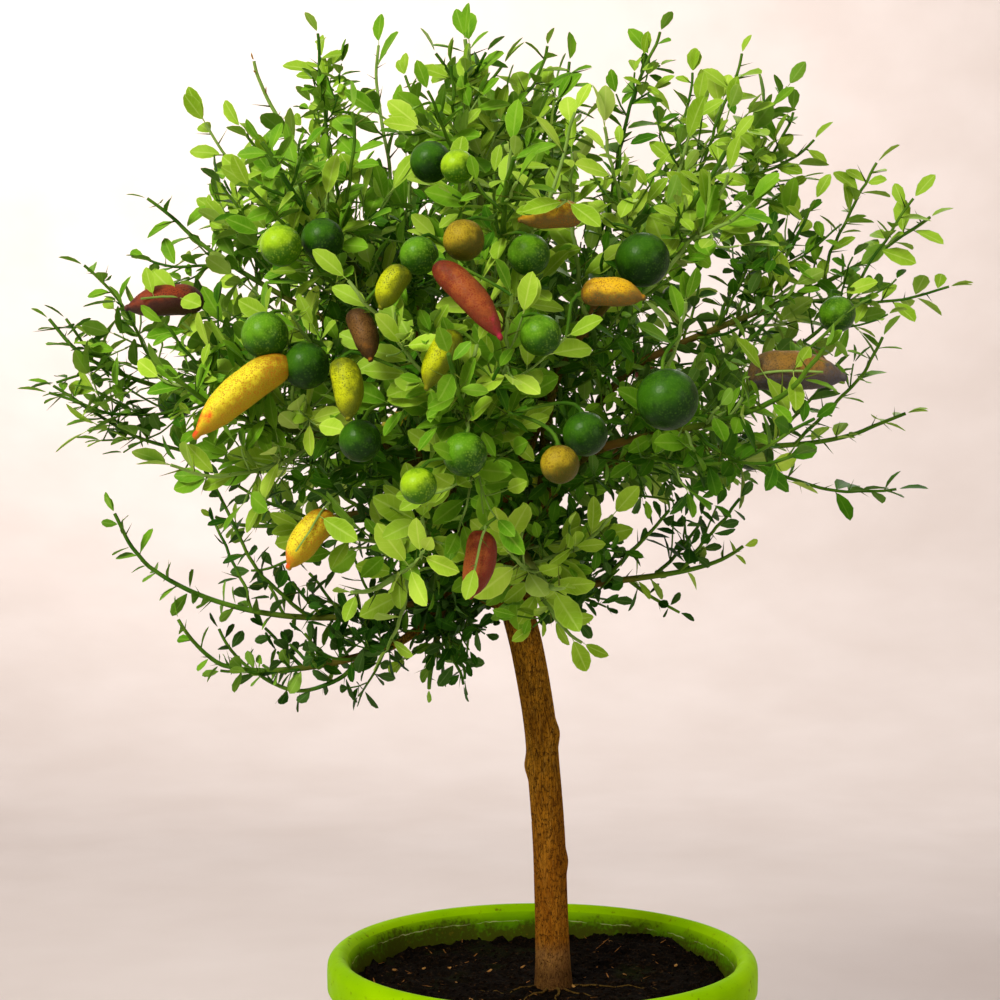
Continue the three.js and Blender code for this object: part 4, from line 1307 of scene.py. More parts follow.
def twig_look(index, tip, draw):
    """The kind of leaf on one twig, and its tone.

    Long new growth with broad pale leaves covers the front of the crown. The rest bears small leaves, deep
    green inside, and round ones underneath. The tones are partly the leaves' own and partly painted light
    and shade: deeper inside the crown, on the low sprays and low on the right, away from the window light,
    and paler at the top.
    """
    name = SPRAYS[index]["name"]
    depth = np.linalg.norm(tip - HUB) / SPRAYS[index]["tip"][2]  # 1 at the crown's surface
    chance, pick = draw(), draw()
    across = tip[0] - HUB[0]
    in_front = tip[1] < ZONE["near"] and ZONE["left"] < across < ZONE["right"]
    low = SPRAYS[index]["leaf"] < 1 or tip[2] < ZONE["low"]
    high = tip[2] > ZONE["high"]
    # Partly painted shade: the low sprays under the crown mostly take the darkest, old tone.
    if low and not (name in FRONT and in_front):
        if depth > 0.84 and chance < 0.4:
            return "round", "fresh" if pick < 0.4 else "middle"
        return "round", "old"
    broad = 0.15 if tip[1] < 30 else 0.25
    if in_front:
        broad = 0.62 if name in FRONT else 0.4
    elif high:
        broad = 0.4
    if depth > 0.6 and chance < broad:
        bright, fresh = (0.06, 0.36) if tip[2] < 560 else (0.18, 0.56)
        return "broad", "bright" if pick < bright else ("fresh" if pick < fresh else "middle")
    if depth > 0.72:
        # Partly painted light: small leaves at the top of the crown are mostly pale.
        fresh, deep = (0.65, 0.05) if high else (0.2, 0.2)
        # Painted shade: low on the right, away from the window light, more small leaves are deep green.
        if across > ZONE["right"] and tip[2] < 660:
            deep = 0.6
        return "small", "fresh" if pick < fresh else ("middle" if pick < 1 - deep else "deep")
    # Partly painted shade: small leaves inside the crown are middle and deep green.
    return "small", "middle" if pick < 0.35 else "deep"


# %% A twig, and the finer ones from its buds
def add_twig(index, order, points, foot, seed):
    """Keeps a twig, bent a little from side to side at its buds, with the leaves that it will bear."""
    shares = np.linspace(0, 1, len(points))
    leaf, tone = twig_look(index, points[-1], seeded(seed + SEED["look"]))
    zigzag = [points[0]]
    for k, point in enumerate(points[1:], 1):
        zigzag.append(point + frame_at(points, k)[2] * ZIGZAG[order] * (-1) ** k)
    radii = foot + (HEADS[order] - foot) * shares**0.8
    age = max(0.0, 1 - order * 0.5) * (1 - shares)
    made = {"points": zigzag, "radii": radii, "age": age, "leaf": leaf, "tone": tone}
    twigs.append({**made, "order": order, "spray": index, "seed": seed})
    return twigs[-1]


def side_twigs(index, host, chance, longest, shortest):
    """Finer twigs from a host's buds, in a spiral. The new growth at its end has few."""
    low = SPRAYS[index]["leaf"] < 1
    kept = THIN.get(SPRAYS[index]["name"], 1)
    points = host["points"]
    order = host["order"] + 1
    for k in range(1, len(points) - 1):
        seed = host["seed"] * 97 + k
        draw = seeded(seed)
        new_growth = k / (len(points) - 1) > 0.62
        if draw() > chance * (0.25 if new_growth else 1) * kept:
            continue
        along, over, across = frame_at(points, k)
        angle = host["seed"] + k * SPIRAL
        out = over * math.cos(angle) + across * math.sin(angle)
        lean = math.radians(lerp(42, 62, draw()))
        facing = along * math.cos(lean) + out * math.sin(lean)
        if low:
            facing[2] = max(facing[2], -0.3)
        length = lerp(longest, shortest, k / (len(points) - 1)) * (0.5 + 0.75 * draw())
        line = carried_on(index, order, [points[k]], unit(facing), length, draw)
        if len(line) < 3:
            continue
        if max(hits_fruit(p, 1.0)[1] for p in line[1:]) > draw():
            continue
        add_twig(index, order, line, min(host["radii"][k] * 0.62, 1.2), seed)


# %% Every spray's stem, shoots and side twigs
BEYOND = {"stem": 46, "shoot": 34}  # how far each runs on past its solid
# The chance of a side twig at a bud, and the longest and the shortest:
SIDES = {"high": (0.78, 58, 28), "low": (0.4, 46, 22)}
FINER_SIDES = {"high": (0.45, 36, 20), "low": (0.25, 26, 18)}
SPUR_SIDES = (0.6, 36, 20)

for index, (course, shoots) in enumerate(skeletons):
    spray = SPRAYS[index]
    level = "low" if spray["leaf"] < 1 else "high"
    draw = seeded(index + SEED["stem"])
    line = followed(course)
    line = carried_on(index, 0, line, unit(line[-1] - line[-2]), BEYOND["stem"], draw, 0.0)
    line[0] = line[0] - unit(line[1] - line[0]) * 3
    hosts = [add_twig(index, 0, line, TWIG["foot"], index + 301)]
    for number, (share, points) in enumerate(shoots):
        line = followed(through(points))
        line = carried_on(index, 1, line, unit(line[-1] - line[-2]), BEYOND["shoot"], draw)
        foot = lerp(TWIG["foot"], TWIG["head"], share) * 0.6
        hosts.append(add_twig(index, 1, line, foot, (index + 1) * 10 + number + 300))
    for host in hosts:
        side_twigs(index, host, *SIDES[level])

for host in [t for t in twigs if t["order"] == 2]:
    level = "low" if SPRAYS[host["spray"]]["leaf"] < 1 else "high"
    side_twigs(host["spray"], host, *FINER_SIDES[level])
print("twigs on the sprays:", len(twigs))

# %% Spurs on the boughs and the trunk's head, which fill the crown's inside
BUDS = {"bough": np.linspace(0.12, 0.95, 18), "trunk": np.linspace(0.79, 0.98, 14)}  # shares of its length
SPUR_LENGTH = {"bough": 54, "trunk": 100}

for number, name in enumerate([spray["name"] for spray in SPRAYS] + ["trunk"]):
    limb = limbs[name]
    kind = "trunk" if name == "trunk" else "bough"
    for k, share in enumerate(BUDS[kind]):
        seed = SEED["spur"] + number * 20 + k
        draw = seeded(seed)
        along = limb["course"].tangent(share)
        over = square_to(along, UP if abs(along[2]) < 0.95 else np.array([1.0, 0, 0]))
        angle = number + k * SPIRAL
        out = over * math.cos(angle) + np.cross(along, over) * math.sin(angle)
        start = limb["course"].point(share) + out * limb["radius"](share) * 0.6
        index = number
        if name == "trunk":
            index = max(range(len(SPRAYS)), key=lambda spray: lead(spray, start + out * 25))
        length = SPUR_LENGTH[kind] * (0.5 + draw())
        line = carried_on(index, 2, [start], unit(along * 0.6 + out), length, draw, -4.0)
        if len(line) >= 3:
            spur = add_twig(index, 2, line, 1.1, seed)
            side_twigs(index, spur, *SPUR_SIDES)
print("twigs:", len(twigs), "length:", round(sum(len(t["points"]) for t in twigs) * STRIDE / 1000, 1), "m")

# %% [markdown]
# A fruit hangs from a thin stalk that ends in a wider, green calyx. Here and there a leafy sprig leaves the
# stalk and crosses in front of the fruit. Both are one smooth curve each, because their ends are known and
# only the bow between them is free.

# %% Stalks, each bowed from the nearest bud to its fruit
for number, fruit in enumerate(fruits):
    hosts = [t for t in twigs if t["order"] <= 2]
    end = fruit["stalk_end"] + fruit["axis"] * 1.2
    near = min((p for t in hosts for p in t["points"][1:]), key=lambda p: np.linalg.norm(p - end))
    reach = np.linalg.norm(end - near)
    bow = near + UP * reach * 0.08 + (end - near) * 0.3
    course = bezier(near, bow, end - fruit["axis"] * reach * 0.35, end)
    count = max(4, int(reach / 5))
    line = [course.point(share) for share in np.linspace(0, 1, count)] + [end + fruit["axis"] * 0.4]
    radii = np.append(np.linspace(1.0, 1.3, count), 2.6)
    age = np.full(count + 1, 0.4)
    stalk = {"points": line, "radii": radii, "age": age, "order": STALK, "leaf": "none"}
    twigs.append({**stalk, "spray": fruit["spray"], "seed": SEED["stalk"] + number})

# %% Leafy sprigs that cross some of the long fruits
CROSSED = (0, 7, 9, 10, 11, 14, 15)  # the fruits' numbers
SPRIG_GAP = 4  # between the fruit's skin and the sprig, in millimetres
for number in CROSSED:
    fruit = fruits[number]
    side = FRUIT_SIDES[number] * (fruit["wide"] / 2 + SPRIG_GAP)
    stalk = next(t for t in twigs if t["seed"] == SEED["stalk"] + number)
    start = stalk["points"][len(stalk["points"]) // 2]
    end = fruit["middle"] + side + fruit["axis"] * fruit["long"] * 0.1
    course = bezier(start, start + side * 1.2, fruit["stalk_end"] + side * 1.1, end)
    sprig = add_twig(fruit["spray"], 2, followed(course), 0.9, SEED["sprig"] + number)
    sprig.update(leaf="broad", tone="fresh", over=FRUIT_SIDES[number])

# %% [markdown]
# A twig is a ring swept along a line, like the bark, but with few sides, because there are hundreds. Its
# bark is green and waxy, and paler on new growth. The oldest stretch of each stem turns olive brown.

# %% Rings along the twigs
twig_tree, given = new_tree(
    "rings_along_twigs",
    [("Sides", "Int", 5), ("Ring spacing", "Float", 0.0045), ("Bark", "Material", None)],
)
lines = node(twig_tree, "GeometryNodeMeshToCurve", {0: given["Geometry"]})
lines = node(twig_tree, "GeometryNodeCurveSplineType", {0: lines}, spline_type="CATMULL_ROM")
inputs = {0: lines, "Length": given["Ring spacing"]}
lines = node(twig_tree, "GeometryNodeResampleCurve", inputs, mode="LENGTH")
ring = node(twig_tree, "GeometryNodeCurvePrimitiveCircle", {"Resolution": given["Sides"], "Radius": 1.0})
thick = node(twig_tree, ATTRIBUTE, {"Name": "thickness"}, data_type="FLOAT")
inputs = {0: lines, 1: ring, "Scale": thick, "Fill Caps": True}
tube = node(twig_tree, REALIZE, {0: node(twig_tree, "GeometryNodeCurveToMesh", inputs)})
barked = node(twig_tree, FINISH, {0: node(twig_tree, SMOOTH, {0: tube}), "Material": given["Bark"]})
node(twig_tree, RESULT, {0: barked}, out=None)


def twig_mesh(name, chosen):
    places, edges, thickness, age = [], [], [], []
    for twig in chosen:
        first = len(places)
        places += list(twig["points"])
        edges += [(first + k, first + k + 1) for k in range(len(twig["points"]) - 1)]
        thickness += list(np.asarray(twig["radii"]) * MM)
        age += list(twig["age"])
    return source_mesh(name, places, edges, thickness=thickness, age=age)


def twig_bark(name, dark, light):
    """A thin wax that keeps the light soft, on a green that drifts every few centimetres."""
    material, tree = new_material(name)
    where = node(tree, PLACE, out="Object")
    tone = node(tree, NOISE, {"Vector": where, "Scale": grain(24), "Detail": 2.0})
    colour = node(tree, RAMP, {0: tone}, stops=[(0.35, dark), (0.65, light)])
    old = node(tree, VALUE, out="Fac", attribute_name="age")
    old = node(tree, RANGE, {0: old, 1: 0.45, 2: 0.95})
    colour = node(tree, MIX, {0: old, 6: colour, 7: "#66501c"}, out=2, data_type="RGBA")
    pores = node(tree, NOISE, {"Vector": where, "Scale": grain(1.5), "Detail": 2.0})
    bump = node(tree, BUMP, {"Height": pores, "Distance": 0.08 * MM, "Strength": 1.0})
    inputs = {"Base Color": colour, "Roughness": 0.55, "Specular IOR Level": 0.08, "Normal": bump}
    node(tree, SURFACE, {"Surface": node(tree, SHADER, inputs)}, out=None)
    return material


green_bark = twig_bark("green_waxy_twig_bark", "#2e5c0c", "#587f1c")
new_bark = twig_bark("pale_green_new_shoot_bark", "#6c9036", "#8cae54")
TWIG_PIECES = [
    # name, orders, whether its leaves are broad, sides, ring spacing, bark
    ("stems", (0, 1, STALK), False, 6, 0.0044, green_bark),
    ("new_stems", (0, 1, STALK), True, 6, 0.0044, new_bark),
    ("fine_twigs", (2, 3), False, 4, 0.0065, green_bark),
    ("fine_new_twigs", (2, 3), True, 4, 0.0065, new_bark),
]
twig_pieces = []
for name, orders, broad, sides, spacing, bark in TWIG_PIECES:
    chosen = [t for t in twigs if t["order"] in orders and (t["leaf"] == "broad") == broad]
    values = {"Sides": sides, "Ring spacing": spacing, "Bark": bark}
    twig_pieces.append(grown(name, twig_mesh(f"{name}_lines", chosen), twig_tree, values))
    print(name, len(chosen), triangles(twig_pieces[-1]), "triangles")

# %% [markdown]
# ## Leaves
#
# The leaves are small, leathery and dotted with oil glands. Old ones are deep green, and this year's are
# larger, paler and pointed. A leaf is a closed blade: two faces that meet at its outline and stand a little
# apart at the midrib, on a short stalk. Each kind is modelled once and placed on thousands of points.


# %% One leaf
def leaf_half_width(share, widest, fullness):
    """Half the width at a share of the length, against half the greatest width."""
    power = math.log(0.5) / math.log(widest)
    return max(0.0, math.sin(math.pi * share**power)) ** fullness


def leaf_object(name, length, width, widest, fullness, stations, fold, droop, stalk):
    """A leaf along +Y whose upper face is +Z.

    Its underside is marked for the finish, and so is each corner's place on the blade: how far from the
    midrib to the edge, and how far from the foot to the tip.
    """
    thick = 0.028 * width
    places, blade = [(0, stalk, 0)], [(0, 0, 0)]
    for step in range(1, stations + 1):
        share = (1 - math.cos(math.pi * step / (stations + 1))) / 2
        half = width / 2 * leaf_half_width(share, widest, fullness)
        y = stalk + length * share
        z = -droop * length * share**2
        places += [(-half, y, z + fold * half), (0, y, z), (half, y, z + fold * half), (0, y, z - thick)]
        blade += [(1, share, 0), (0, share, 0), (1, share, 0), (0, share, 0)]
    places.append((0, stalk + length, -droop * length))
    blade.append((0, 1, 0))
    tip = len(places) - 1
    left, rib, right, keel = (range(k, tip, 4) for k in (1, 2, 3, 4))
    upper = [(0, rib[0], left[0]), (0, right[0], rib[0])]
    lower = [(0, left[0], keel[0]), (0, keel[0], right[0])]
    for k in range(stations - 1):
        upper.append((left[k], rib[k], rib[k + 1], left[k + 1]))
        upper.append((rib[k], right[k], right[k + 1], rib[k + 1]))
        lower.append((left[k], left[k + 1], keel[k + 1], keel[k]))
        lower.append((keel[k], keel[k + 1], right[k + 1], right[k]))
    upper += [(left[-1], rib[-1], tip), (rib[-1], right[-1], tip)]
    lower += [(left[-1], tip, keel[-1]), (keel[-1], tip, right[-1])]
    if stalk > 2:
        base = len(places)
        for y in (-0.3, stalk + 0.12 * length):
            for k in range(3):
                turn = math.radians(90 + 120 * k)
                places.append((0.36 * math.cos(turn), y, 0.36 * math.sin(turn) - 0.1))
                blade.append((0, 0, 0))
        lower += [(base + k, base + (k + 1) % 3, base + 3 + (k + 1) % 3, base + 3 + k) for k in range(3)]
    made = mesh_object(name, np.array(places) * MM, upper + lower)
    marks = [0.0] * len(upper) + [1.0] * len(lower)
    made.data.attributes.new("underside", "FLOAT", "FACE").data.foreach_set("value", marks)
    blade = np.array(blade, float).ravel()
    made.data.attributes.new("blade", "FLOAT_VECTOR", "POINT").data.foreach_set("vector", blade)
    rim = [0, *left, tip, *reversed(right), 0]
    outline = {frozenset(pair) for pair in zip(rim, rim[1:])}
    sharp = [frozenset(edge.vertices) in outline for edge in made.data.edges]
    made.data.attributes.new("sharp_edge", "BOOLEAN", "EDGE").data.foreach_set("value", sharp)
    return made


LEAVES = {
    # length, width, where it is widest, fullness, rows, fold, droop, stalk
    "small": leaf_object("leaf_small", 17.5, 8.8, 0.57, 0.66, 4, 0.26, 0.14, 1.2),
    "round": leaf_object("leaf_round", 16.5, 9.0, 0.62, 0.6, 4, 0.18, 0.1, 1.2),
    "broad": leaf_object("leaf_broad", 27.0, 14.5, 0.54, 0.66, 5, 0.2, 0.1, 3.8),
    "bud": leaf_object("leaf_bud", 6.0, 2.6, 0.4, 0.9, 3, 0.5, -0.1, 0.0),
}
for name, leaf in LEAVES.items():
    print("leaf", name, triangles(leaf), "triangles")

# %% [markdown]
# The colours are dealt out by twig: deep green inside and on the old low sprays, middle green outside, and
# fresh yellow green on the long new growth at the front. The deeper tones inside, low down and low on the
# right are partly painted shade, and the paler tones at the top partly painted light. Each is a plain tone
# with a slight drift from place to place, a paler midrib and a thin pale margin that parts one leaf from the
# next. The wax on the upper face catches a little light, and the underside is paler and dull.


# %% Leaf finishes
def leaf_finish(name, dark, light, vein_colour, roughness):
    material, tree = new_material(name)
    where = node(tree, PLACE, out="Object")
    tone = node(tree, NOISE, {"Vector": where, "Scale": grain(21), "Detail": 3.0})
    colour = node(tree, RAMP, {0: tone}, stops=[(0.34, dark), (0.66, light)])
    blade = node(tree, SPLIT, {0: node(tree, VALUE, out="Vector", attribute_name="blade")}, out=None)
    away, along = blade.outputs["X"], blade.outputs["Y"]
    midrib = node(tree, RANGE, {0: away, 1: 0.14, 2: 0.03, 4: 0.55})
    # Side veins leave the midrib at a slant and run to the edge, two to three millimetres apart.
    slant = node(tree, MATH, {0: away, 1: -1.3, 2: 0.0}, operation="MULTIPLY_ADD")
    phase = node(tree, MATH, {0: along, 1: 7.0, 2: slant}, operation="MULTIPLY_ADD")
    wave = node(tree, MATH, {0: phase}, operation="FRACT")
    wave = node(tree, MATH, {0: wave, 1: 0.5}, operation="SUBTRACT")
    wave = node(tree, MATH, {0: wave}, operation="ABSOLUTE")
    side_veins = node(tree, RANGE, {0: wave, 1: 0.1, 2: 0.02, 4: 0.16})
    veins = node(tree, MATH, {0: midrib, 1: side_veins}, operation="MAXIMUM")
    margin = node(tree, RANGE, {0: away, 1: 0.84, 2: 0.97, 4: 0.4})
    veins = node(tree, MATH, {0: veins, 1: margin}, operation="MAXIMUM")
    colour = node(tree, MIX, {0: veins, 6: colour, 7: vein_colour}, out=2, data_type="RGBA")
    inputs = {"Base Color": colour, "Roughness": roughness, "Specular IOR Level": 0.04}
    node(tree, SURFACE, {"Surface": node(tree, SHADER, inputs)}, out=None)
    return material


TONES = {
    # tone: upper dark, light and vein, underside dark, light and vein
    "old": ("#18400a", "#2e5e0c", "#4a7a20", "#365a1e", "#4c7430", "#688c48"),
    "deep": ("#285808", "#467c10", "#62902a", "#466f24", "#608a34", "#789a4c"),
    "middle": ("#528a12", "#76aa22", "#94bc44", "#649626", "#82ae3c", "#98bc58"),
    "fresh": ("#7ca61e", "#98c036", "#b2d060", "#86b038", "#a0c44e", "#b2d06c"),
    "bright": ("#98c22e", "#b2d648", "#c8e068", "#a2c44e", "#b6d464", "#c8de7c"),
    "amber": ("#b87818", "#d89a30", "#e4b45c", "#b88838", "#cc9c48", "#dcb464"),
}
FINISHES = {}
for tone, codes in TONES.items():
    upper = leaf_finish(f"waxy_{tone}_leaf", *codes[:3], 0.45)
    under = leaf_finish(f"dull_{tone}_underside", *codes[3:], 0.75)
    FINISHES[tone] = (upper, under)

# %% [markdown]
# Buds sit along a twig in a spiral. Each bears a leaf or two, and a spine beside it. First the place, the
# direction, the face and the size of every leaf are noted, and then nodes put the leaves there.

# %% How a leaf lies
placed = {}  # for each leaf and tone: lists of place, along, face and size
spines = {"place": [], "along": [], "size": []}
PAIRED = (0.3, 0.3, 0.5, 0.5)  # the share of buds that bear a second leaf, by the twig's order
THORNY = (0.85, 0.85, 0.4, 0.2)  # the share of buds with a spine, by the twig's order
WINDOW = np.array([-0.45, -0.75, 0.5])  # the way to the light


def leaf_lie(twig, leaf, point, direction, draw):
    """The way a leaf points and the way it faces.

    Leaves on a sprig lie flat over its fruit. New leaves at the front face outward, and many at the top
    face the window. The rest lie level, with their faces up, on the outer twigs, and turn outward inside
    and below.
    """
    spray = SPRAYS[twig["spray"]]
    outward = unit(point - HUB)
    jitter = np.array([draw() - 0.5, draw() - 0.5, draw() - 0.5])
    if "over" in twig:
        side = twig["over"]
        flat = unit(direction - side * (np.dot(direction, side) - 0.15))
        return flat, side + UP * 0.3 + jitter * 0.5
    if point[2] > 690 and point[1] < 60 and draw() < 0.6:
        return direction, WINDOW + outward * 0.3 + jitter * 0.7
    if leaf == "broad":
        return direction, outward + UP * 0.35 + jitter * 0.7
    outer = np.linalg.norm(point - HUB) > spray["tip"][2] * 0.7
    if outer and leaf == "small" and spray["name"] not in FRONT:
        return unit(direction * np.array([1, 1, 0.45]) + UP * 0.12), UP + outward * 0.2 + jitter * 0.6
    return direction, UP * 0.55 + outward * 0.7 + jitter


# %% One leaf noted, where it has room
def put_leaf(twig, leaf, tone, point, radius, direction, size, draw):
    """Notes one leaf, unless it would be in a fruit, hide one or stand out of the crown.

    A sprig's leaves may hide a fruit.
    """
    direction, lie = leaf_lie(twig, leaf, point, direction, draw)
    reach = LEAF_REACH[leaf] * size
    inside, shown = hits_fruit(point + direction * reach * 0.55, 2.0)
    beyond = np.linalg.norm(point + direction * reach - HUB) > SPRAYS[twig["spray"]]["tip"][2] + 8
    barred = beyond or shown > draw()
    if inside or (barred and "over" not in twig):
        return
    row = placed.setdefault((leaf, tone), {"place": [], "along": [], "face": [], "size": []})
    face = square_to(direction, lie)
    for key, value in zip(row, (point + direction * radius * 0.6, direction, face, size)):
        row[key].append(value)


# %% Leaves and spines dealt out along the twigs
SPRIG_LEAF = 0.8  # the size of a sprig's leaves against others
TIP_LEAF = 1.25  # and of small leaves toward the end of a stem or shoot


def dress(twig):
    """Puts leaves and spines on a twig's buds."""
    draw = seeded(twig["seed"] + SEED["leaves"])
    leaf, tone = twig["leaf"], twig["tone"]
    points, order = twig["points"], twig["order"]
    leafy = 1 if "over" in twig else (1 + THIN.get(SPRAYS[twig["spray"]]["name"], 1)) / 2
    slants = (42, 68) if leaf == "broad" else (56, 84)
    last = len(points) - 1
    at_top_left = SPRAYS[twig["spray"]]["name"] == "top_left" and order == 0
    outer = abs(points[-1][0] - HUB[0]) > 170 and points[-1][2] > 690
    budding = outer and draw() < 0.08
    amber = last - 4 if at_top_left else (last - 2 if budding else last)
    for k in range(3 if order == 0 else 1, last + 1):
        along, over, across = frame_at(points, k)
        angle = twig["seed"] + k * SPIRAL
        bare = draw() > leafy and k < last
        if not bare and (leaf != "broad" or k % 2 == 0 or k == last):
            for turn in (angle, angle + 2.4)[: 2 if draw() < PAIRED[order] else 1]:
                out = over * math.cos(turn) + across * math.sin(turn)
                lean = math.radians(20 * draw() if k == last else lerp(*slants, draw()))
                direction = unit(along * math.cos(lean) + out * math.sin(lean))
                size = lerp(0.75, 1.18, draw()) * (0.8 if k >= last - 1 else 1)
                if "over" in twig:
                    size = size * SPRIG_LEAF
                if order <= 1 and leaf == "small" and k > last * 0.5:
                    size = size * TIP_LEAF
                kind = ("bud", "amber") if k > amber else (leaf, tone)
                put_leaf(twig, *kind, points[k], twig["radii"][k], direction, size, draw)
        if k < last and draw() < THORNY[order]:
            turn = angle + 0.7
            out = over * math.cos(turn) + across * math.sin(turn)
            spines["place"].append(points[k])
            spines["along"].append(unit(along * 0.5 + out))
            spines["size"].append(lerp(0.5, 1.0, draw()) * (0.55 if order >= 2 else 1))


LEAF_REACH = {name: max(v.co.y for v in leaf.data.vertices) / MM for name, leaf in LEAVES.items()}
for twig in twigs:
    if twig["order"] != STALK:
        dress(twig)
print("leaves:", {key: len(rows["size"]) for key, rows in placed.items()})
print("all leaves:", sum(len(rows["size"]) for rows in placed.values()), "spines:", len(spines["size"]))

# %% A leaf on every point
leaf_tree, given = new_tree(
    "leaf_on_points",
    [("Leaf", "Object", None), ("Upper face", "Material", None), ("Underside", "Material", None)],
)
shape = node(leaf_tree, "GeometryNodeObjectInfo", {0: given["Leaf"]}, out="Geometry")
along = node(leaf_tree, ATTRIBUTE, {"Name": "along"}, data_type="FLOAT_VECTOR")
aimed = node(leaf_tree, AIM, {"Vector": along}, axis="Y")
face = node(leaf_tree, ATTRIBUTE, {"Name": "face"}, data_type="FLOAT_VECTOR")
rolled = node(leaf_tree, AIM, {"Rotation": aimed, "Vector": face}, axis="Z", pivot_axis="Y")
size = node(leaf_tree, ATTRIBUTE, {"Name": "size"}, data_type="FLOAT")
inputs = {"Points": given["Geometry"], "Instance": shape, "Rotation": rolled, "Scale": size}
real = node(leaf_tree, REALIZE, {0: node(leaf_tree, INSTANCE, inputs)})
waxy = node(leaf_tree, FINISH, {0: real, "Material": given["Upper face"]})
marks = node(leaf_tree, ATTRIBUTE, {"Name": "underside"}, data_type="FLOAT")
below = node(leaf_tree, COMPARE, {0: marks, 1: 0.5}, operation="GREATER_THAN")
dull = node(leaf_tree, FINISH, {0: waxy, "Selection": below, "Material": given["Underside"]})
node(leaf_tree, RESULT, {0: dull}, out=None)

MOST_LEAVES = 6000  # in one piece, to keep each under 200,000 triangles
leaf_pieces = []
for (leaf, tone), rows in sorted(placed.items()):
    upper, under = FINISHES[tone]
    values = {"Leaf": LEAVES[leaf], "Upper face": upper, "Underside": under}
    for part, first in enumerate(range(0, len(rows["size"]), MOST_LEAVES)):
        some = {key: column[first : first + MOST_LEAVES] for key, column in rows.items()}
        points = source_mesh("points", some.pop("place"), **some)
        made = grown(f"leaves_{leaf}_{tone}_{part + 1}", points, leaf_tree, values)
        leaf_pieces.append(made)
        print(made.name, triangles(made), "triangles")
for leaf in LEAVES.values():
    bpy.data.objects.remove(leaf)

# %% [markdown]
# ## Spines
#
# A single straight spine stands beside each bud, green and stiff. It is a thin cone, and nodes put one on
# every marked bud.

# %% A spine on every point
spine_green, tree = new_material("green_waxy_spine")
where = node(tree, PLACE, out="Object")
tone = node(tree, NOISE, {"Vector": where, "Scale": grain(12), "Detail": 2.0})
colour = node(tree, RAMP, {0: tone}, stops=[(0.35, "#37560f"), (0.7, "#6b7d26")])
inputs = {"Base Color": colour, "Roughness": 0.5, "Specular IOR Level": 0.08}
node(tree, SURFACE, {"Surface": node(tree, SHADER, inputs)}, out=None)

spine_tree, given = new_tree(
    "spine_on_points",
    [("Length", "Float", 0.017), ("Foot radius", "Float", 0.0008), ("Finish", "Material", None)],
)
inputs = {"Vertices": 4, "Radius Top": 0.00003, "Radius Bottom": given["Foot radius"], "Depth": given[1]}
cone = node(spine_tree, "GeometryNodeMeshCone", inputs, fill_type="TRIANGLE_FAN")
along = node(spine_tree, ATTRIBUTE, {"Name": "along"}, data_type="FLOAT_VECTOR")
aimed = node(spine_tree, AIM, {"Vector": along}, axis="Z")
size = node(spine_tree, ATTRIBUTE, {"Name": "size"}, data_type="FLOAT")
inputs = {"Points": given["Geometry"], "Instance": cone, "Rotation": aimed, "Scale": size}
real = node(spine_tree, REALIZE, {0: node(spine_tree, INSTANCE, inputs)})
green = node(spine_tree, FINISH, {0: node(spine_tree, SMOOTH, {0: real}), "Material": given["Finish"]})
node(spine_tree, RESULT, {0: green}, out=None)
spine_points = source_mesh("spine_points", spines["place"], along=spines["along"], size=spines["size"])
spine_piece = grown("spines", spine_points, spine_tree, {"Finish": spine_green})
print("spines:", triangles(spine_piece), "triangles")

# %% [markdown]
# ## Fruit
#
# Finger limes are slender, blunt at the stalk and drawn out to a nipple at the tip, with a pebbled skin full
# of oil glands. Their colour runs from one end to the other. The round fruit are green and smoother. Each is
# an outline turned round the fruit's own axis, with shallow pebbles pushed into the mesh.


# %% Fruit bodies
def finger_outline(share):
    """Radius against half the girth, from the stalk end at 0 to the tip at 1."""
    if share < 0.34:
        return max(0.0, 1 - ((0.34 - share) / 0.34) ** 3.2) ** 0.5
    if share < 0.94:
        return 1 - 0.79 * ((share - 0.34) / 0.6) ** 3.4
    return 0.21 * math.sqrt(max(0.0, 1 - ((share - 0.94) / 0.06) ** 4))


def round_outline(share):
    body = math.sqrt(max(0.0, 1 - (2 * share - 1) ** 2))
    return body * (1 - 0.1 * math.exp(-((share / 0.06) ** 2)))


def fruit_body(fruit):
    """The fruit's corners in millimetres, its faces, and each corner's share of the length."""
    finger = fruit["kind"] == "finger"
    rows, sides = (44, 30) if finger else (26, 32)
    outline = finger_outline if finger else round_outline
    pebble_size, dent_size, bend = (0.2, 0.55, 0.05) if finger else (0.05, 0.3, 0.0)
    axis = fruit["axis"]
    over = square_to(axis, UP if abs(axis[2]) < 0.9 else np.array([1.0, 0, 0]))
    across = np.cross(axis, over)
    places, shares = [], []
    for row, share in enumerate((1 - np.cos(np.linspace(0, math.pi, rows + 2))) / 2):
        middle = fruit["stalk_end"] + axis * fruit["long"] * share
        middle = middle + over * bend * fruit["long"] * math.sin(math.pi * share)
        radius = fruit["wide"] / 2 * outline(share)
        for k in range(1 if row in (0, rows + 1) else sides):
            angle = 2 * math.pi * k / sides
            way = over * math.cos(angle) + across * math.sin(angle)
            place = middle + way * radius
            pebble = noise.noise(Vector(place / 1.9)) * pebble_size
            dent = noise.noise(Vector(place / 11)) * dent_size
            places.append(place + way * (pebble + dent) * min(1, radius / 4))
            shares.append(share)
    return places, turned_faces(rows, sides), shares


def fruit_piece(name, chosen, finish):
    places, faces, shares = [], [], []
    for fruit in chosen:
        new_places, new_faces, new_shares = fruit_body(fruit)
        first = len(places)
        places += new_places
        faces += [tuple(first + corner for corner in face) for face in new_faces]
        shares += new_shares
    made = mesh_object(name, np.array(places) * MM, faces, [finish])
    made.data.attributes.new("along_fruit", "FLOAT", "POINT").data.foreach_set("value", shares)
    return made
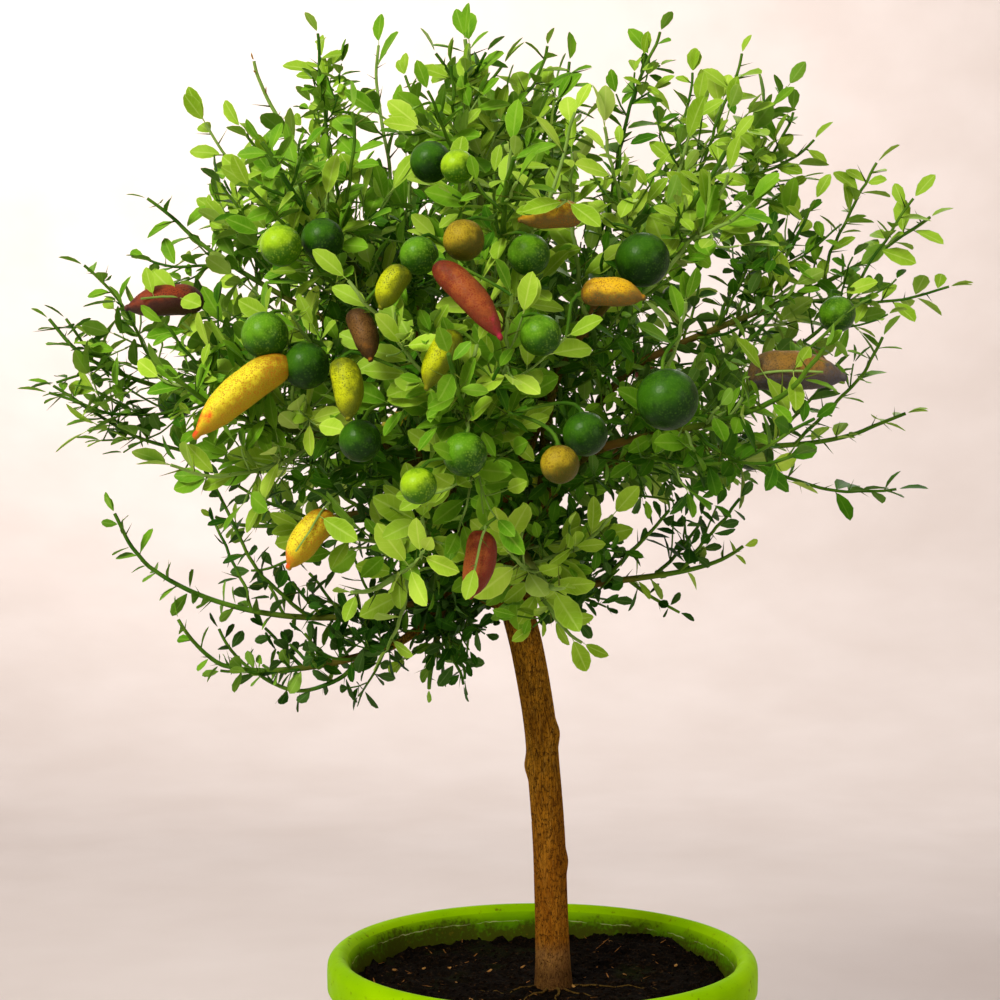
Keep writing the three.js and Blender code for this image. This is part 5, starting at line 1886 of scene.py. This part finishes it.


# %% [markdown]
# A fruit's peel is waxy and dotted, so its highlight is soft and broken. The colour follows the fruit's
# length, the side away from the window light is painted darker as painted shade, and dark specks mark the
# oil glands, a little over a millimetre apart.

# %% Citrus peel
PAINTED_LIGHT_FROM = (-0.45, -0.45, 0.77)  # the way to the light that the peel's painted light and shade follow
PEELS = {
    # stalk end, middle, tip, painted shade on the side away from the light, specks, share of specks
    "maroon": ("#4c3020", "#8e3c1c", "#5c3024", "#3a2a24", "#44201a", 0.8),
    "red": ("#5c2210", "#9c5424", "#b02848", "#6a2c1c", "#7c2416", 0.85),
    "gold": ("#7c3c0c", "#e8dc2c", "#dc5418", "#9c8414", "#ae6a14", 1.0),
    "lime_yellow": ("#3c4a08", "#bcc80e", "#7c7c10", "#4c5a08", "#666e0e", 0.95),
    "brown": ("#3c2a10", "#705024", "#94601c", "#3c2c14", "#342010", 0.8),
    "amber": ("#5a4414", "#deb41a", "#a4760e", "#5c5028", "#94601c", 0.9),
    "plum": ("#524630", "#8c6828", "#54504c", "#48464a", "#50401e", 0.85),
    "green": ("#2a5c08", "#5c9414", "#40780e", "#1c4206", "#84b034", 0.4),
    "dark": ("#14320a", "#34640c", "#1e4808", "#102c06", "#4a7a18", 0.4),
    "bright": ("#4c8008", "#9cc818", "#70a410", "#2c5c06", "#b4d83c", 0.35),
    "bronze": ("#5c4c0c", "#a8941c", "#8c7814", "#3c400a", "#6a5010", 0.8),
}
SMOOTH_PEELS = ("green", "dark", "bright")


def citrus_peel(name, codes):
    stalk, middle, tip, painted_shade_colour, specks, amount = codes
    smooth = name in SMOOTH_PEELS
    material, tree = new_material(f"{name}_citrus_peel")
    where = node(tree, PLACE, out="Object")
    blotch = node(tree, NOISE, {"Vector": where, "Scale": grain(5), "Detail": 5.0})
    wander = node(tree, RANGE, {0: blotch, 3: -0.3, 4: 0.3})
    along = node(tree, VALUE, out="Fac", attribute_name="along_fruit")
    along = node(tree, MATH, {0: along, 1: wander})
    colour = node(tree, RAMP, {0: along}, stops=[(0.0, stalk), (0.36, middle), (0.74, middle), (0.92, tip)])
    # Painted light and shade: the side that faces the window light keeps the peel's colour, and the side away
    # from it is mixed toward the painted shade colour.
    inputs = {0: node(tree, PLACE, out="Normal"), 1: PAINTED_LIGHT_FROM}
    painted_light_side = node(tree, VECTORS, inputs, out="Value", operation="DOT_PRODUCT")
    painted_light_side = node(tree, MATH, {0: wander, 1: 1.6, 2: painted_light_side}, operation="MULTIPLY_ADD")
    painted_shade = node(tree, RANGE, {0: painted_light_side, 1: 0.75, 2: 0.0, 4: 0.92}, interpolation_type="SMOOTHSTEP")
    colour = node(tree, MIX, {0: painted_shade, 6: colour, 7: painted_shade_colour}, out=2, data_type="RGBA")
    inputs = {"Vector": where, "Scale": grain(1.5 if smooth else 1.15), "Randomness": 0.85}
    glands = node(tree, CELLS, inputs, out="Distance")
    dots = node(tree, RANGE, {0: glands, 1: 0.56, 2: 0.18})
    crowded = node(tree, NOISE, {"Vector": where, "Scale": grain(4), "Detail": 3.0})
    crowded = node(tree, MATH, {0: along, 1: -0.3, 2: crowded}, operation="MULTIPLY_ADD")
    crowded = node(tree, RANGE, {0: crowded, 1: 0.1, 2: 0.42, 4: amount})
    dots = node(tree, MATH, {0: dots, 1: crowded}, operation="MULTIPLY")
    colour = node(tree, MIX, {0: dots, 6: colour, 7: specks}, out=2, data_type="RGBA")
    inputs = {"Height": glands, "Distance": (0.08 if smooth else 0.2) * MM, "Strength": 1.0}
    bump = node(tree, BUMP, inputs)
    inputs = {"Base Color": colour, "Roughness": 0.32 if smooth else 0.48, "Normal": bump}
    shader = node(tree, SHADER, {**inputs, "IOR": 1.47, "Specular IOR Level": 0.12})
    node(tree, SURFACE, {"Surface": shader}, out=None)
    return material


fruit_pieces = []
for name, codes in PEELS.items():
    chosen = [f for f in fruits if f["skin"] == name]
    made = fruit_piece(f"fruit_{name}", chosen, citrus_peel(name, codes))
    fruit_pieces.append(made)
    print(made.name, len(chosen), triangles(made), "triangles")

# %% [markdown]
# ## The pieces on the body
#
# Every piece rides on the one body, and the solids that it stands for are hidden. The list also names a
# material slot for each piece.

# %% Bodies, replaced nodes and slots
SPRAY_NODES = [name for name in NODES if name.startswith("spray_")]
BOUGH_NODES = [name for name in NODES if name.startswith("bough_")]
handed = [(pot, "pot_plastic", ["pot"])]
handed += [(piece, "soil", ["soil"]) for piece in (soil, *litter)]
handed += [(piece, "bark", ["trunk"]) for piece in (trunk_bark, surface_roots)]
handed += [(bough_bark, "bark", BOUGH_NODES)]
handed += [(piece, "foliage", SPRAY_NODES) for piece in (*twig_pieces, spine_piece, *leaf_pieces)]
handed += [(piece, "fruit", SPRAY_NODES) for piece in fruit_pieces]
for piece, slot, nodes in handed:
    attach(piece, "root")
    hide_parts(*nodes)
print("pieces:", len(handed), "triangles:", sum(triangles(piece) for piece, _, _ in handed))
